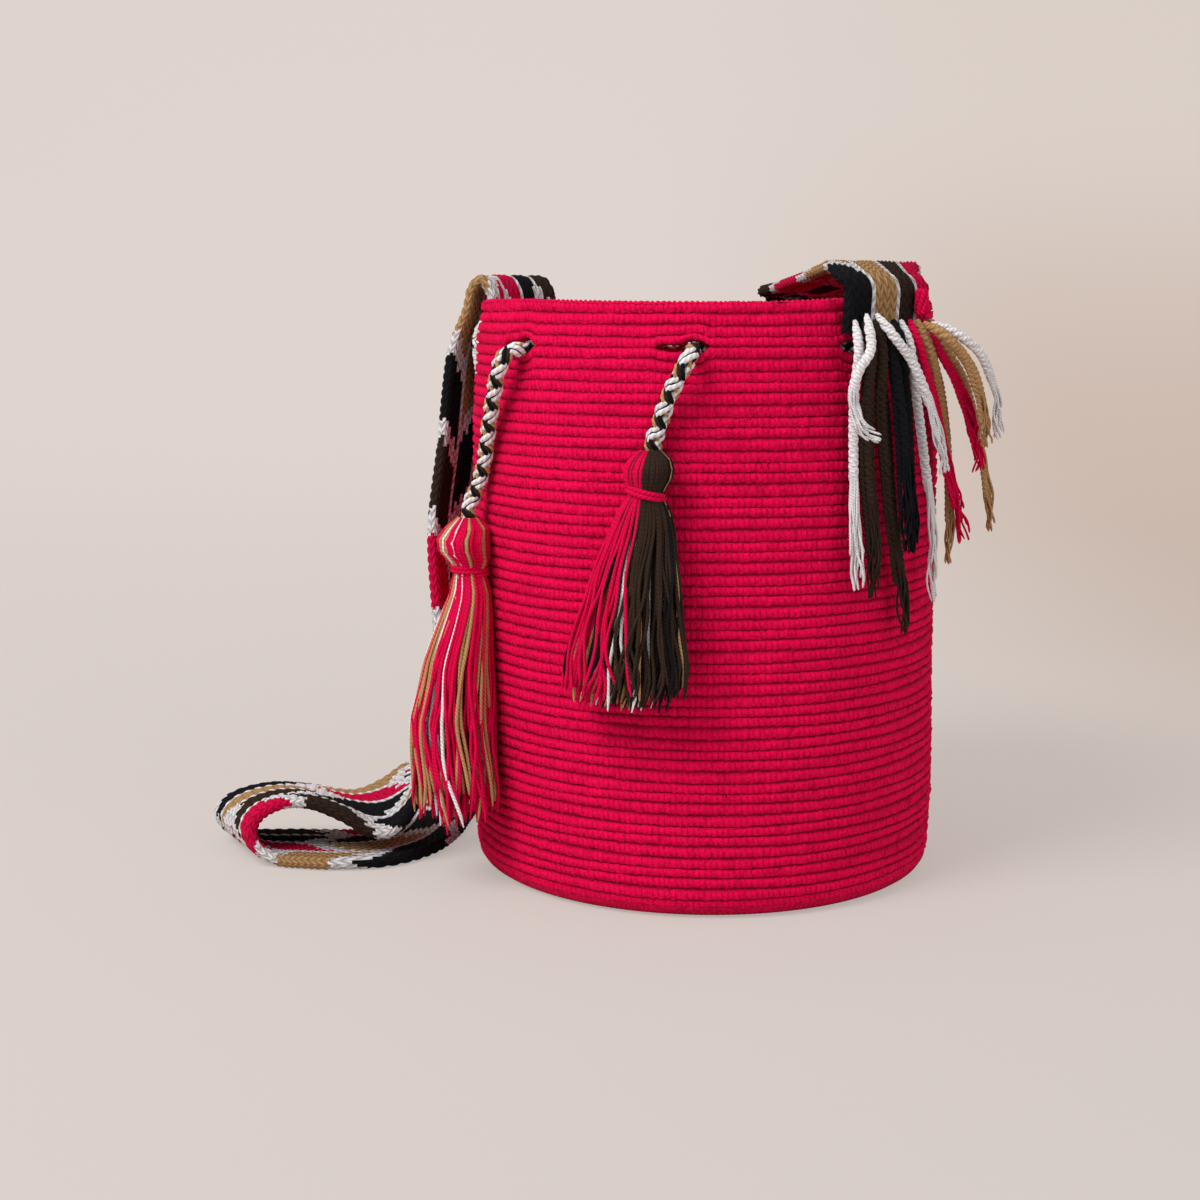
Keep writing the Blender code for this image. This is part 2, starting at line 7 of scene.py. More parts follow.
import bpy
import numpy as np
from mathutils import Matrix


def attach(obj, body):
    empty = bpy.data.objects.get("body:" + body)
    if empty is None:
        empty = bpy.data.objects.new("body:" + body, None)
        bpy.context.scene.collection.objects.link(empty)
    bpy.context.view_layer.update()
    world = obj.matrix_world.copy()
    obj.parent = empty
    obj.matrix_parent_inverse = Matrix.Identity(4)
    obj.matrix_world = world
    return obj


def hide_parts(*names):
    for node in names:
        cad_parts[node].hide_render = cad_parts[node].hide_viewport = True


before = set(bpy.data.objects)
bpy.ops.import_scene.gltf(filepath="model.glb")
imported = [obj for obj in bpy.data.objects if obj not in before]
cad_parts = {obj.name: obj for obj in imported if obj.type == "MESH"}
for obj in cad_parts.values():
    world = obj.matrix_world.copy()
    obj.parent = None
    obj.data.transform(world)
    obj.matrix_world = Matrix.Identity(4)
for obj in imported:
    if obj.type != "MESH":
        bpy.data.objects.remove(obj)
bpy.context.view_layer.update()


# Camera: the photograph's view, a little to the right of the tassels
CAMERA_PLACE = (0.506, -0.910, 0.305)
CAMERA_TURN = 32.2
CAMERA_DOWN = 8.9
LENS_MM = 57.3
SENSOR_MM = 36.0

camera_data = bpy.data.cameras.new("camera")
camera_data.lens = LENS_MM
camera_data.sensor_width = SENSOR_MM
camera_data.clip_end = 50.0
camera = bpy.data.objects.new("camera", camera_data)
camera.location = CAMERA_PLACE
camera.rotation_euler = (math.radians(90 - CAMERA_DOWN), 0.0, math.radians(CAMERA_TURN))
bpy.context.scene.collection.objects.link(camera)
bpy.context.scene.camera = camera
TO_CAMERA_RIGHT = np.array(
    [math.cos(math.radians(CAMERA_TURN)), math.sin(math.radians(CAMERA_TURN)), 0.0]
)


# Bag body: one piece of single crochet in spun cotton and acrylic yarn, worked in rounds
# from the base up to the rim. Every round stands out as a ridge of stitch legs, and the
# eight lacing slits are gaps left between two rounds.
CRIMSON = (0.700, 0.0012, 0.061)
BODY_HEIGHT = 0.305
BASE_RADIUS = 0.1247
BASE_EDGE = 0.0105
SLIT_HEIGHT_UP = 0.2815
LACING_RADIUS = 0.1228
RIM_RADIUS = 0.1195
WALL = 0.0052
BODY_SILHOUETTE = (
    (BASE_EDGE, BASE_RADIUS),
    (0.046, 0.126),
    (0.140, 0.125),
    (0.242, 0.125),
    (SLIT_HEIGHT_UP, LACING_RADIUS),
    (BODY_HEIGHT, RIM_RADIUS),
)
# Azimuths where the strap is sewn on, and how far its pull keeps the rim from waving
RIGHT_SEAM = 75.0
LEFT_SEAM = -92.0
SEAM_PULL = 26.0
SLIT_COUNT = 8
# Half widths of the slits, in degrees. A front slit is flat, with a wider hole where the
# drawstring comes out, a little round from its middle
CORD_IN_SLIT = 4.0
FRONT_SLIT = 4.9
FRONT_SLIT_OPEN = 0.0042
CORD_HOLE = 3.1
OTHER_SLIT = 5.8
CORD_OPEN = 0.0076
LEAST_GAP = 0.0004
LIFT_REACH = 0.010
ROW_COUNT = 54
ROW_PITCH = (BODY_HEIGHT - BASE_EDGE) / ROW_COUNT
SLIT_ROW = round((SLIT_HEIGHT_UP - BASE_EDGE) / ROW_PITCH)
SLIT_STEP = 0.00004
COLUMNS = 540
STITCHES = COLUMNS / 2
STITCH_LUMP = 0.00036
STITCH_SIZES = (0.55, 1.25)
STITCH_JITTER = 0.07
GROOVE = 0.0015
ROUGHNESS_OF_ROWS = 0.0003
ROW_WANDER = 0.0003
WALL_BULGE = 0.00045
RIM_WAVE = 0.0011
RIM_LUMP = 0.0004
SHIFT_A_ROW = 0.31
# Groove and both edges of a row's ridge: share up, sink, lump and tooth of the stitches
ROW_STEPS = (
    (0.0, GROOVE, 0.2, 0.0),
    (0.21, 0.0001, 1.0, 0.00022),
    (0.79, 0.0, 1.0, -0.000132),
)
FOOT_TURNS = (0.0, 22.0, 45.0, 68.0)
# The rim turns inwards: how far in, and how far over its height
RIM_TURN = ((0.0006, -0.0005), (0.0022, 0.0004), (0.0042, -0.0004), (0.0052, -0.0032))
ABOVE_SLITS = (
    BODY_HEIGHT - 0.0030, BODY_HEIGHT - 0.010, SLIT_HEIGHT_UP + 0.004, SLIT_HEIGHT_UP + 0.0005,
)
UNDER_SLITS = (
    SLIT_HEIGHT_UP - 0.0005, SLIT_HEIGHT_UP - 0.006, 0.262, 0.242, 0.200, 0.155, 0.110,
    0.070, 0.040, 0.0085,
)
INNER_COLUMNS = 270
INNER_LUMP = 0.0002
DISC_COLUMNS = 90
DISC_RINGS = 26
# Underside and inner floor: height, radius, relief and whether the disc faces down
DISCS = ((0.0, 0.1142, 0.0005, True), (0.0072, 0.1206, 0.0006, False))


def wall_radius(height):
    for (low, at_low), (high, at_high) in zip(BODY_SILHOUETTE, BODY_SILHOUETTE[1:]):
        if height <= high:
            share = max(0.0, (height - low) / (high - low))
            return at_low + (at_high - at_low) * (1 - math.cos(math.pi * share)) / 2
    return RIM_RADIUS


def around(azimuth, radius, height):
    """The point, or the ring of points, at an azimuth, a radius and a height."""
    turn = np.radians(azimuth)
    place = (radius * np.sin(turn), -radius * np.cos(turn), height)
    return np.stack(np.broadcast_arrays(*place), axis=-1)


def seeded(name):
    return np.random.default_rng(sum(ord(letter) * (k + 1) for k, letter in enumerate(name)))


def smooth_noise(name, waves, columns):
    """A smooth closed random line round the bag, between about -1 and 1."""
    random = seeded(name)
    turn = np.arange(columns) * 2 * math.pi / columns
    total = np.zeros(columns)
    for wave in range(1, waves + 1):
        total += random.normal() * np.cos(wave * turn + random.uniform(0, 2 * math.pi))
    return total / math.sqrt(waves)


def slit_azimuth(number):
    return (number + 0.5) * 360 / SLIT_COUNT


def off_by(azimuth, middle):
    return (azimuth - middle + 180) % 360 - 180


def slit_opening(azimuth):
    """Height of the lacing slits' gap at each azimuth."""
    gap = np.zeros_like(azimuth)

    def lens(middle, half, height):
        return height * np.sqrt(np.clip(1 - (off_by(azimuth, middle) / half) ** 2, 0, None))

    for number in range(SLIT_COUNT):
        middle = slit_azimuth(number)
        if number in (0, SLIT_COUNT - 1):
            gap = np.maximum(gap, lens(middle, FRONT_SLIT, FRONT_SLIT_OPEN))
            gap = np.maximum(gap, lens(middle + CORD_IN_SLIT, CORD_HOLE, CORD_OPEN))
        else:
            gap = np.maximum(gap, lens(middle, OTHER_SLIT, CORD_OPEN))
    return gap


def near_slits(level):
    """How much of a slit's gap is felt at this height: all of it only at the slits."""
    return math.exp(-((abs(level - SLIT_HEIGHT_UP) / LIFT_REACH) ** 1.5))


def to_and_fro(count):
    return np.where(np.arange(count) % 2 == 0, 1.0, -1.0)


def body_rings():
    """Azimuths, radii, heights and row of every ring from the foot to inside the rim."""
    base = np.arange(COLUMNS) * 360 / COLUMNS
    sign = to_and_fro(COLUMNS)
    waviness = [smooth_noise(f"wave{k}", 9, COLUMNS) for k in range(6)]
    off_seams = np.ones(COLUMNS)
    for seam in (RIGHT_SEAM, LEFT_SEAM):
        off_seams *= 1 - np.exp(-((off_by(base, seam) / SEAM_PULL) ** 4))
    rim_rise = RIM_WAVE * smooth_noise("rim", 4, COLUMNS) * off_seams

    def lifted(height):
        """How far the slow wave of the rim lifts a ring of this height."""
        share = np.clip((height - SLIT_HEIGHT_UP) / (BODY_HEIGHT - SLIT_HEIGHT_UP), 0, 1)
        return rim_rise * share

    rings = []
    for turn in FOOT_TURNS:
        part = math.radians(turn)
        radius = BASE_RADIUS - BASE_EDGE * (1 - math.sin(part)) - 0.0002
        height = BASE_EDGE * (1 - math.cos(part))
        rings.append((base, radius + 0.00012 * sign, np.full(COLUMNS, height), -1))
    split = None
    for row in range(ROW_COUNT):
        random = seeded(f"row{row}")
        size = np.repeat(random.uniform(*STITCH_SIZES, COLUMNS // 2), 2)
        jitter = random.normal(0, STITCH_JITTER, COLUMNS)
        wander = sum(w * math.sin(1.7 * row + 2.1 * k) for k, w in enumerate(waviness))
        azimuth = base + (row * SHIFT_A_ROW + jitter) * 360 / COLUMNS * 2
        for share, sink, lump, tooth in ROW_STEPS:
            level = BASE_EDGE + (row + share) * ROW_PITCH
            height = level + wander * ROW_WANDER
            rough = random.normal(0, ROUGHNESS_OF_ROWS, COLUMNS)
            radius = wall_radius(level) - sink + sign * lump * STITCH_LUMP * size + rough
            height = height + sign * tooth
            height = height + lifted(height) + random.normal(0, 0.7, COLUMNS) * ROUGHNESS_OF_ROWS
            if row == SLIT_ROW and share == 0.0:
                split = len(rings)
                rings.append((azimuth, radius, height - SLIT_STEP, row - 0.01))
            rings.append((azimuth, radius, height, row + share))
    for inwards, above in RIM_TURN:
        lump = BODY_HEIGHT + above + RIM_LUMP * sign + rim_rise + 0.0003 * waviness[0] * off_seams
        radius = RIM_RADIUS - inwards + 0.0002 * sign
        rings.append((azimuth, radius, lump, ROW_COUNT + 0.3))
    return rings, split


def band_corners(rings, columns):
    """The corners of the quads between rings of points, each ring closed round."""
    low = np.arange(rings - 1)[:, None] * columns
    column = np.arange(columns)[None, :]
    after = (column + 1) % columns
    high = low + columns
    return np.stack([low + column, low + after, high + after, high + column], axis=2)


class Skin:
    """Gathers quads and the UV map that their yarn pattern follows into one mesh."""

    def __init__(self):
        self.points = []
        self.quads = []
        self.uvs = []
        self.total = 0

    def add(self, points, quads, uvs):
        self.points.append(points)
        self.quads.append(quads + self.total)
        self.uvs.append(uvs)
        self.total += len(points)

    def band(self, places, uvs, wrap, order=(0, 1, 2, 3), kept=None):
        """Joins rings of points. The UVs grow by wrap where a ring closes."""
        after = np.roll(uvs, -1, axis=1)
        after[:, -1] += wrap
        corner_uvs = np.stack([uvs[:-1], after[:-1], after[1:], uvs[1:]], axis=2)
        quads = band_corners(*uvs.shape[:2])
        if kept is None:
            kept = np.ones(quads.shape[:2], bool)
        order = list(order)
        self.add(places.reshape(-1, 3), quads[kept][:, order], corner_uvs[kept][:, order])

    def made(self, name, materials):
        mesh = bpy.data.meshes.new(name)
        points = np.concatenate(self.points).astype(np.float32)
        quads = np.concatenate(self.quads).astype(np.int32)
        uvs = np.concatenate(self.uvs).astype(np.float32)
        mesh.vertices.add(len(points))
        mesh.vertices.foreach_set("co", points.ravel())
        mesh.loops.add(quads.size)
        mesh.loops.foreach_set("vertex_index", quads.ravel())
        mesh.polygons.add(len(quads))
        mesh.polygons.foreach_set("loop_start", np.arange(0, quads.size, 4, dtype=np.int32))
        mesh.update(calc_edges=True)
        mesh.polygons.foreach_set("use_smooth", np.ones(len(quads), bool))
        layer = mesh.uv_layers.new(name="yarn")
        layer.data.foreach_set("uv", uvs.ravel())
        for material in materials:
            mesh.materials.append(material)
        mesh.validate()
        made = bpy.data.objects.new(name, mesh)
        bpy.context.scene.collection.objects.link(made)
        return made


def finish_piece(made, replaced, colour_numbers=None):
    """Gives each quad its yarn's material, hangs the piece under the root and hides the parts that
    it replaces.
    """
    if colour_numbers is not None:
        made.data.polygons.foreach_set("material_index", colour_numbers.astype(np.int32))
        made.data.update()
    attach(made, "root")
    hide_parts(*replaced)
    return made


class Nodes:
    """Adds nodes to a material, each with its settings and what goes into it."""

    def __init__(self, material):
        self.tree = material.node_tree
        self.place = self.add("ShaderNodeTexCoord").outputs["Object"]

    def add(self, kind, inputs=(), **settings):
        node = self.tree.nodes.new(kind)
        for key, value in settings.items():
            setattr(node, key, value)
        for key, value in dict(inputs).items():
            if isinstance(value, bpy.types.NodeSocket):
                self.tree.links.new(value, node.inputs[key])
            else:
                node.inputs[key].default_value = value
        return node

    def math(self, operation, *values):
        return self.add("ShaderNodeMath", enumerate(values), operation=operation).outputs[0]

    def noise(self, scale, detail=2.0):
        inputs = {"Vector": self.place, "Scale": scale, "Detail": detail}
        return self.add("ShaderNodeTexNoise", inputs).outputs["Fac"]

    def ramp(self, value, start, end, low, high, **settings):
        """Goes from low to high while the value goes from start to end."""
        inputs = {"Value": value, "From Min": start, "From Max": end, "To Min": low, "To Max": high}
        return self.add("ShaderNodeMapRange", inputs, **settings).outputs[0]

    def pattern_place(self):
        """U and V of the yarn pattern."""
        place = self.add("ShaderNodeUVMap", uv_map="yarn").outputs["UV"]
        split = self.add("ShaderNodeSeparateXYZ", {"Vector": place})
        return split.outputs["X"], split.outputs["Y"]

    def dress(self, shader, colour, level, height, strength, depth):
        """The colour at this level, which carries the painted shade of the relief, and a bump of
        this depth.
        """
        tint = self.add("ShaderNodeVectorMath", {0: colour, "Scale": level}, operation="SCALE")
        inputs = {"Strength": strength, "Distance": depth, "Height": height}
        bump = self.add("ShaderNodeBump", inputs)
        self.tree.links.new(tint.outputs[0], shader.inputs["Base Color"])
        self.tree.links.new(bump.outputs["Normal"], shader.inputs["Normal"])


def new_material(name, colour, roughness, sheen):
    made = bpy.data.materials.new(name)
    made.use_nodes = True
    made.diffuse_color = (*colour, 1.0)
    shader = made.node_tree.nodes["Principled BSDF"]
    shader.inputs["Base Color"].default_value = (*colour, 1.0)
    shader.inputs["Roughness"].default_value = roughness
    shader.inputs["Specular IOR Level"].default_value = 0.08
    shader.inputs["Sheen Weight"].default_value = sheen
    shader.inputs["Sheen Roughness"].default_value = 0.45
    shader.inputs["Sheen Tint"].default_value = (*[min(1.0, 1.4 * c + 0.03) for c in colour], 1.0)
    return made, shader


def crochet_material():
    """U counts stitches and V counts rows: legs of each stitch, fibres, fading and painted shade.
    """
    made, shader = new_material("crocheted_crimson", CRIMSON, 0.9, 0.10)
    nodes = Nodes(made)
    stitch, row = nodes.pattern_place()

    def hump(value, power):
        """1 in the middle of each step of the value and 0 at its ends."""
        centred = nodes.math("MULTIPLY_ADD", nodes.math("FRACT", value), 2.0, -1.0)
        away = nodes.math("POWER", nodes.math("ABSOLUTE", centred), power)
        return nodes.math("SUBTRACT", 1.0, away)

    loose = nodes.noise(420.0, 1.0)
    tuft = nodes.noise(560.0, 3.0)
    fibre = nodes.noise(2300.0)
    fading = nodes.noise(45.0, 4.0)
    ridge = hump(nodes.math("MULTIPLY_ADD", tuft, 0.16, row), 5.0)
    shifted = nodes.math("MULTIPLY_ADD", loose, 0.5, stitch)
    slanted = nodes.math("MULTIPLY_ADD", nodes.math("FRACT", row), 0.28, shifted)
    lump = hump(slanted, 2.4)
    strand = hump(nodes.math("MULTIPLY", slanted, 2.0), 2.0)
    body = nodes.math("MULTIPLY", ridge, nodes.math("MULTIPLY_ADD", lump, 0.28, 0.55))
    body = nodes.math("MULTIPLY_ADD", nodes.math("MULTIPLY", strand, ridge), 0.10, body)
    height = nodes.math("MULTIPLY_ADD", fibre, 0.26, body)
    height = nodes.math("MULTIPLY_ADD", tuft, 0.95, height)
    # Painted shade in the grooves between rows and stitches, painted light on the crests, and fuzz
    # that varies the tone
    shade = nodes.ramp(height, 0.60, 1.60, 0.40, 1.22)
    vary = nodes.ramp(fading, 0.0, 1.0, 0.90, 1.12)
    nodes.dress(shader, CRIMSON, nodes.math("MULTIPLY", shade, vary), height, 0.9, 0.0012)
    return made


def add_outer_wall(skin):
    rings, split = body_rings()
    bulge = WALL_BULGE * smooth_noise("bulge", 5, COLUMNS)
    places = []
    uvs = []
    for index, (azimuth, radius, height, row) in enumerate(rings):
        level = float(np.mean(height))
        lift = slit_opening(azimuth) / 2 * near_slits(level) * (1 if index > split else -1)
        wide = radius + bulge * math.sin(math.pi * min(1.0, level / 0.30))
        places.append(around(azimuth, wide, height + lift))
        uvs.append(np.stack([azimuth / 360 * STITCHES, np.full(COLUMNS, float(row))], axis=1))
    gap = slit_opening(rings[split][0])
    opened = (gap + np.roll(gap, -1)) / 2 >= LEAST_GAP
    kept = np.ones((len(rings) - 1, COLUMNS), bool)
    kept[split] = ~opened
    skin.band(np.array(places), np.array(uvs), (STITCHES, 0), kept=kept)
    return [(places[ring], uvs[ring]) for ring in (split, split + 1)], opened


def stitch_grid(azimuth, rows):
    """A grid of UVs: U counts stitches round the bag and V counts rows."""
    u, v = np.meshgrid(azimuth / 360 * STITCHES, rows)
    return np.stack([u, v], axis=2)


def add_inner_wall(skin):
    azimuth = np.arange(INNER_COLUMNS) * 360 / INNER_COLUMNS
    gap = slit_opening(azimuth)
    places = []
    for way, levels in ((1, ABOVE_SLITS), (-1, UNDER_SLITS)):
        for level in levels:
            radius = wall_radius(level) - WALL + INNER_LUMP * to_and_fro(INNER_COLUMNS)
            places.append(around(azimuth, radius, level + gap / 2 * near_slits(level) * way))
    rows = (np.array(ABOVE_SLITS + UNDER_SLITS) - BASE_EDGE) / ROW_PITCH
    kept = np.ones((len(rows) - 1, INNER_COLUMNS), bool)
    kept[len(ABOVE_SLITS) - 1] = (gap + np.roll(gap, -1)) / 2 < LEAST_GAP
    uvs = stitch_grid(azimuth, rows)
    skin.band(np.array(places), uvs, (STITCHES, 0), order=(1, 0, 3, 2), kept=kept)


def add_slit_lips(skin, edges, opened):
    """The faces of the slits, from the outside through the wall."""
    for (outer_edge, edge_uvs), way in zip(edges, (1, -1)):
        flat = np.linalg.norm(outer_edge[:, :2], axis=1)
        inner_edge = outer_edge.copy()
        inner_edge[:, :2] *= ((flat - WALL + 0.0004) / flat)[:, None]
        quads = band_corners(2, COLUMNS)[0][opened][:, ::way]
        uvs = np.repeat(edge_uvs[opened][:, None], 4, axis=1)
        skin.add(np.concatenate([outer_edge, inner_edge]), quads, uvs)


def add_disc(skin, level, radius, relief, faces_down):
    """A disc of rounds, every other one raised."""
    azimuth = np.arange(DISC_COLUMNS) * 360 / DISC_COLUMNS
    ring = np.arange(DISC_RINGS)
    heights = level + relief * (ring % 2) * (1 if faces_down else -1)
    spread = radius * np.linspace(1.0, 0.02, DISC_RINGS)
    places = np.array([around(azimuth, *ring_place) for ring_place in zip(spread, heights)])
    order = (0, 3, 2, 1) if faces_down else (1, 2, 3, 0)
    skin.band(places, stitch_grid(azimuth, ring / 2), (STITCHES, 0), order=order)


body_skin = Skin()
slit_edges, open_columns = add_outer_wall(body_skin)
add_inner_wall(body_skin)
add_slit_lips(body_skin, slit_edges, open_columns)
for disc in DISCS:
    add_disc(body_skin, *disc)
body = body_skin.made("crocheted_body", [crochet_material()])
finish_piece(body, ["bag_body"])


# Drawstring: a round braid of four strands of cotton and acrylic yarn, laced through the
# slits. Each strand is three yarns side by side. Its ends come out at the front and run
# on inside the heads of the tassels, whose yarns are folded over them.
COLOURS = {
    "crimson": CRIMSON,
    "white": (0.80, 0.775, 0.79),
    "tan": (0.480, 0.270, 0.118),
    "brown": (0.036, 0.0205, 0.0140),
    "black": (0.0075, 0.0075, 0.010),
}
YARN_ORDER = list(COLOURS)
YARN_ROUGHNESS = 0.86
YARN_SHEEN = 0.12
DRAWSTRING = 0.0095
CLEAR = 0.0009
CORD_INSIDE = LACING_RADIUS - WALL - DRAWSTRING / 2 - CLEAR
CORD_OUTSIDE = LACING_RADIUS + DRAWSTRING / 2 + CLEAR
CORD_IN_WALL = LACING_RADIUS - WALL / 2
# Points of each hanging end: azimuth, how far out of the wall, how far from the slits
RIGHT_DROP = -0.0460
LEFT_DROP = -0.0868
RIGHT_END = (
    (26.2, 0.0085, -0.0015),
    (24.6, 0.0120, -0.0085),
    (22.6, 0.0105, -0.017),
    (20.6, 0.0085, -0.028),
    (19.3, 0.0072, -0.038),
    (18.5, 0.0078, -0.0415),
    (18.4, 0.0078, RIGHT_DROP),
)
LEFT_END = (
    (-18.8, 0.0085, -0.0015),
    (-20.2, 0.0120, -0.0090),
    (-23.2, 0.0108, -0.022),
    (-27.6, 0.0085, -0.041),
    (-31.6, 0.0072, -0.060),
    (-34.2, 0.0095, -0.074),
    (-34.6, 0.0130, -0.0815),
    (-34.6, 0.0130, LEFT_DROP),
)
INTO_HEAD = 0.019
BRAID_TURN = 0.0262
BRAID_YARN = 0.00120
# Each strand: the colour, place across and size of its yarns
EYE_STRAND = (("white", -0.70, 1.22), ("black", 0.0, 0.66), ("white", 0.70, 1.22))
DARK_STRAND = (("tan", -0.95, 0.95), ("brown", 0.0, 0.95), ("black", 0.95, 0.95))
BRAID_STRANDS = (EYE_STRAND, DARK_STRAND, EYE_STRAND, DARK_STRAND)
# In a slit the braid is squeezed by this share, over this length
SLIT_SQUEEZE = 0.26
SQUEEZE_REACH = 0.0055


def yarn_material(name, colour):
    """Plied yarn with painted shade between its plies. U counts twists along it and V goes once
    round it.
    """
    made, shader = new_material(name, colour, YARN_ROUGHNESS, YARN_SHEEN)
    nodes = Nodes(made)
    wave = nodes.math("MULTIPLY", nodes.math("ADD", *nodes.pattern_place()), 4 * math.pi)
    height = nodes.math("MULTIPLY_ADD", nodes.math("SINE", wave), 0.5, nodes.noise(1800.0))
    # Painted shade in the grooves between the plies and painted light on their crests; the tone
    # also varies at random
    shade = nodes.ramp(height, -0.2, 1.1, 0.68, 1.08)
    vary = nodes.ramp(nodes.noise(160.0), 0.0, 1.0, 0.82, 1.18)
    nodes.dress(shader, colour, nodes.math("MULTIPLY", shade, vary), height, 0.7, 0.00035)
    return made


YARNS = [yarn_material(f"yarn_{name}", colour) for name, colour in COLOURS.items()]


def between(knots, position):
    """Catmull-Rom value at a position counted in knots."""
    span = max(0, min(int(position), len(knots) - 2))
    part = position - span
    first = knots[max(span - 1, 0)]
    second = knots[span]
    third = knots[span + 1]
    fourth = knots[min(span + 2, len(knots) - 1)]
    return 0.5 * (
        2 * second
        + (third - first) * part
        + (2 * first - 5 * second + 4 * third - fourth) * part**2
        + (3 * second - first - 3 * third + fourth) * part**3
    )


def smooth_curve(knots):
    """Many points on the smooth curve through the knots."""
    places = np.linspace(0, len(knots) - 1, 24 * len(knots))
    return np.array([between(knots, place) for place in places])


def run_along(points):
    """How far along the line each of its points lies."""
    return np.concatenate([[0.0], np.cumsum(np.linalg.norm(np.diff(points, axis=0), axis=1))])


def spread_along(values, run, at):
    return np.stack([np.interp(at, run, values[:, axis]) for axis in range(3)], axis=1)


def resample(knots, step):
    """Points at an even spacing on the smooth curve through the knots."""
    fine = smooth_curve([np.asarray(knot, float) for knot in knots])
    run = run_along(fine)
    count = max(3, int(round(run[-1] / step)) + 1)
    return spread_along(fine, run, np.linspace(0.0, run[-1], count))


def unit(vectors):
    return vectors / np.linalg.norm(vectors, axis=1)[:, None]


def moving_frames(points):
    """Two crosswise directions that turn as little as possible along the line."""
    tangent = unit(np.gradient(points, axis=0))
    side = np.cross(tangent[0], (0.0, 0.0, 1.0))
    if np.linalg.norm(side) < 0.1:
        side = np.cross(tangent[0], (1.0, 0.0, 0.0))
    one = np.empty_like(points)
    for index, along in enumerate(tangent):
        side = side - along * np.dot(side, along)
        side /= np.linalg.norm(side)
        one[index] = side
    return one, np.cross(tangent, one)


class Yarns(Skin):
    """Gathers round yarns, each with its colour, into one mesh."""

    def __init__(self):
        super().__init__()
        self.colour_numbers = []

    def lay(self, path, radius, colour, sides=6, twist_length=0.004):
        path = np.asarray(path, float)
        one, two = moving_frames(path)
        size = np.broadcast_to(np.asarray(radius, float), (len(path),)).copy()
        size[0] *= 0.35
        size[-1] *= 0.35
        turn = np.arange(sides) * 2 * math.pi / sides
        ring = np.cos(turn)[None, :, None] * one[:, None, :]
        ring = ring + np.sin(turn)[None, :, None] * two[:, None, :]
        v, u = np.meshgrid(np.arange(sides) / sides, run_along(path) / twist_length)
        self.band(path[:, None, :] + ring * size[:, None, None], np.stack([u, v], axis=2), (0, 1))
        self.colour_numbers.append(np.full(len(self.quads[-1]), YARN_ORDER.index(colour)))

    def piece(self, name, replaced, slot):
        made = self.made(name, YARNS)
        return finish_piece(made, replaced, np.concatenate(self.colour_numbers))


def hanging_end(route):
    return [
        around(azimuth, LACING_RADIUS + out, SLIT_HEIGHT_UP + drop)
        for azimuth, out, drop in route
    ]


def drawstring_route():
    """From inside the right tassel's head, round the bag, to inside the left one's."""
    right_slit = slit_azimuth(0) + CORD_IN_SLIT
    left_slit = slit_azimuth(-1) + CORD_IN_SLIT
    laced = [(right_slit, CORD_IN_WALL), (right_slit + 2.2, CORD_INSIDE + 0.0025)]
    laced.append((right_slit + 6.5, CORD_INSIDE))
    sides = [CORD_INSIDE, CORD_OUTSIDE]
    for number in range(1, SLIT_COUNT - 1):
        through = slit_azimuth(number)
        before, after = sides
        laced += [(through - 18.5, before), (through - 5.6, before)]
        laced += [(through, CORD_IN_WALL), (through + 5.6, after)]
        sides.reverse()
    laced += [(left_slit + 360 - 20, CORD_INSIDE), (left_slit - 6.5, CORD_INSIDE)]
    laced += [(left_slit - 2.2, CORD_INSIDE + 0.0025), (left_slit, CORD_IN_WALL)]
    route = hanging_end(RIGHT_END)[::-1]
    route += [around(azimuth, radius, SLIT_HEIGHT_UP) for azimuth, radius in laced]
    route += hanging_end(LEFT_END)
    into_head = np.array([0.0, 0.0, INTO_HEAD])
    return [route[0] - into_head, *route, route[-1] - into_head]


def braid(yarns, path, width, turn_length, yarn, strands, squeeze):
    """Four strands, two each way round, that pass over and under each other."""
    one, two = moving_frames(path)
    run = run_along(path)
    middle = width / 2 - 2.0 * yarn
    for strand, trio in enumerate(strands):
        way = 1 if strand % 2 == 0 else -1
        phase = 2 * math.pi * run / turn_length
        angle = way * phase + strand * math.pi / 2 + 0.5 * math.pi * run / run[-1]
        weave = np.cos(2 * phase + (0 if way > 0 else math.pi))
        radius = (middle + 0.80 * yarn * weave) * squeeze
        outward = np.cos(angle)[:, None] * one + np.sin(angle)[:, None] * two
        centre = path + outward * radius[:, None]
        sideways = unit(np.cross(unit(np.gradient(centre, axis=0)), outward))
        for colour, place, thickness in trio:
            lift = outward * (0.30 * yarn * (1 - abs(place)))
            shifted = centre + (sideways * place * 1.62 * yarn + lift) * squeeze[:, None]
            yarns.lay(shifted, yarn * thickness * squeeze, colour, twist_length=0.006)


def squeezed_in_slits(path):
    """How thick the braid is along its path: less in each slit."""
    azimuths = [slit_azimuth(k) + CORD_IN_SLIT for k in (0, -1)]
    azimuths += [slit_azimuth(k) for k in range(1, SLIT_COUNT - 1)]
    slits = [around(azimuth, CORD_IN_WALL, SLIT_HEIGHT_UP) for azimuth in azimuths]
    nearest = np.min([np.linalg.norm(path - slit, axis=1) for slit in slits], axis=0)
    return 1 - SLIT_SQUEEZE * np.exp(-((nearest / SQUEEZE_REACH) ** 2))


drawstring_path = resample(drawstring_route(), 0.0016)
squeeze = squeezed_in_slits(drawstring_path)
cord_yarns = Yarns()
braid(cord_yarns, drawstring_path, DRAWSTRING, BRAID_TURN, BRAID_YARN, BRAID_STRANDS, squeeze)
drawstring = cord_yarns.piece("drawstring_braid", ["drawstring"], "drawstring_braid")


# Tassels: bundles of loose cotton and acrylic yarns, folded over the drawstring's end.
# The yarns run over the bulb of the head, in at the tied neck, and hang loose as the
# skirt. Those that start at the neck fill the skirt.
NECK_WIDTH = 0.015
NECK_DOWN = 1.03
TASSEL_YARN = 0.00092
TASSEL_TWIST = 0.0042
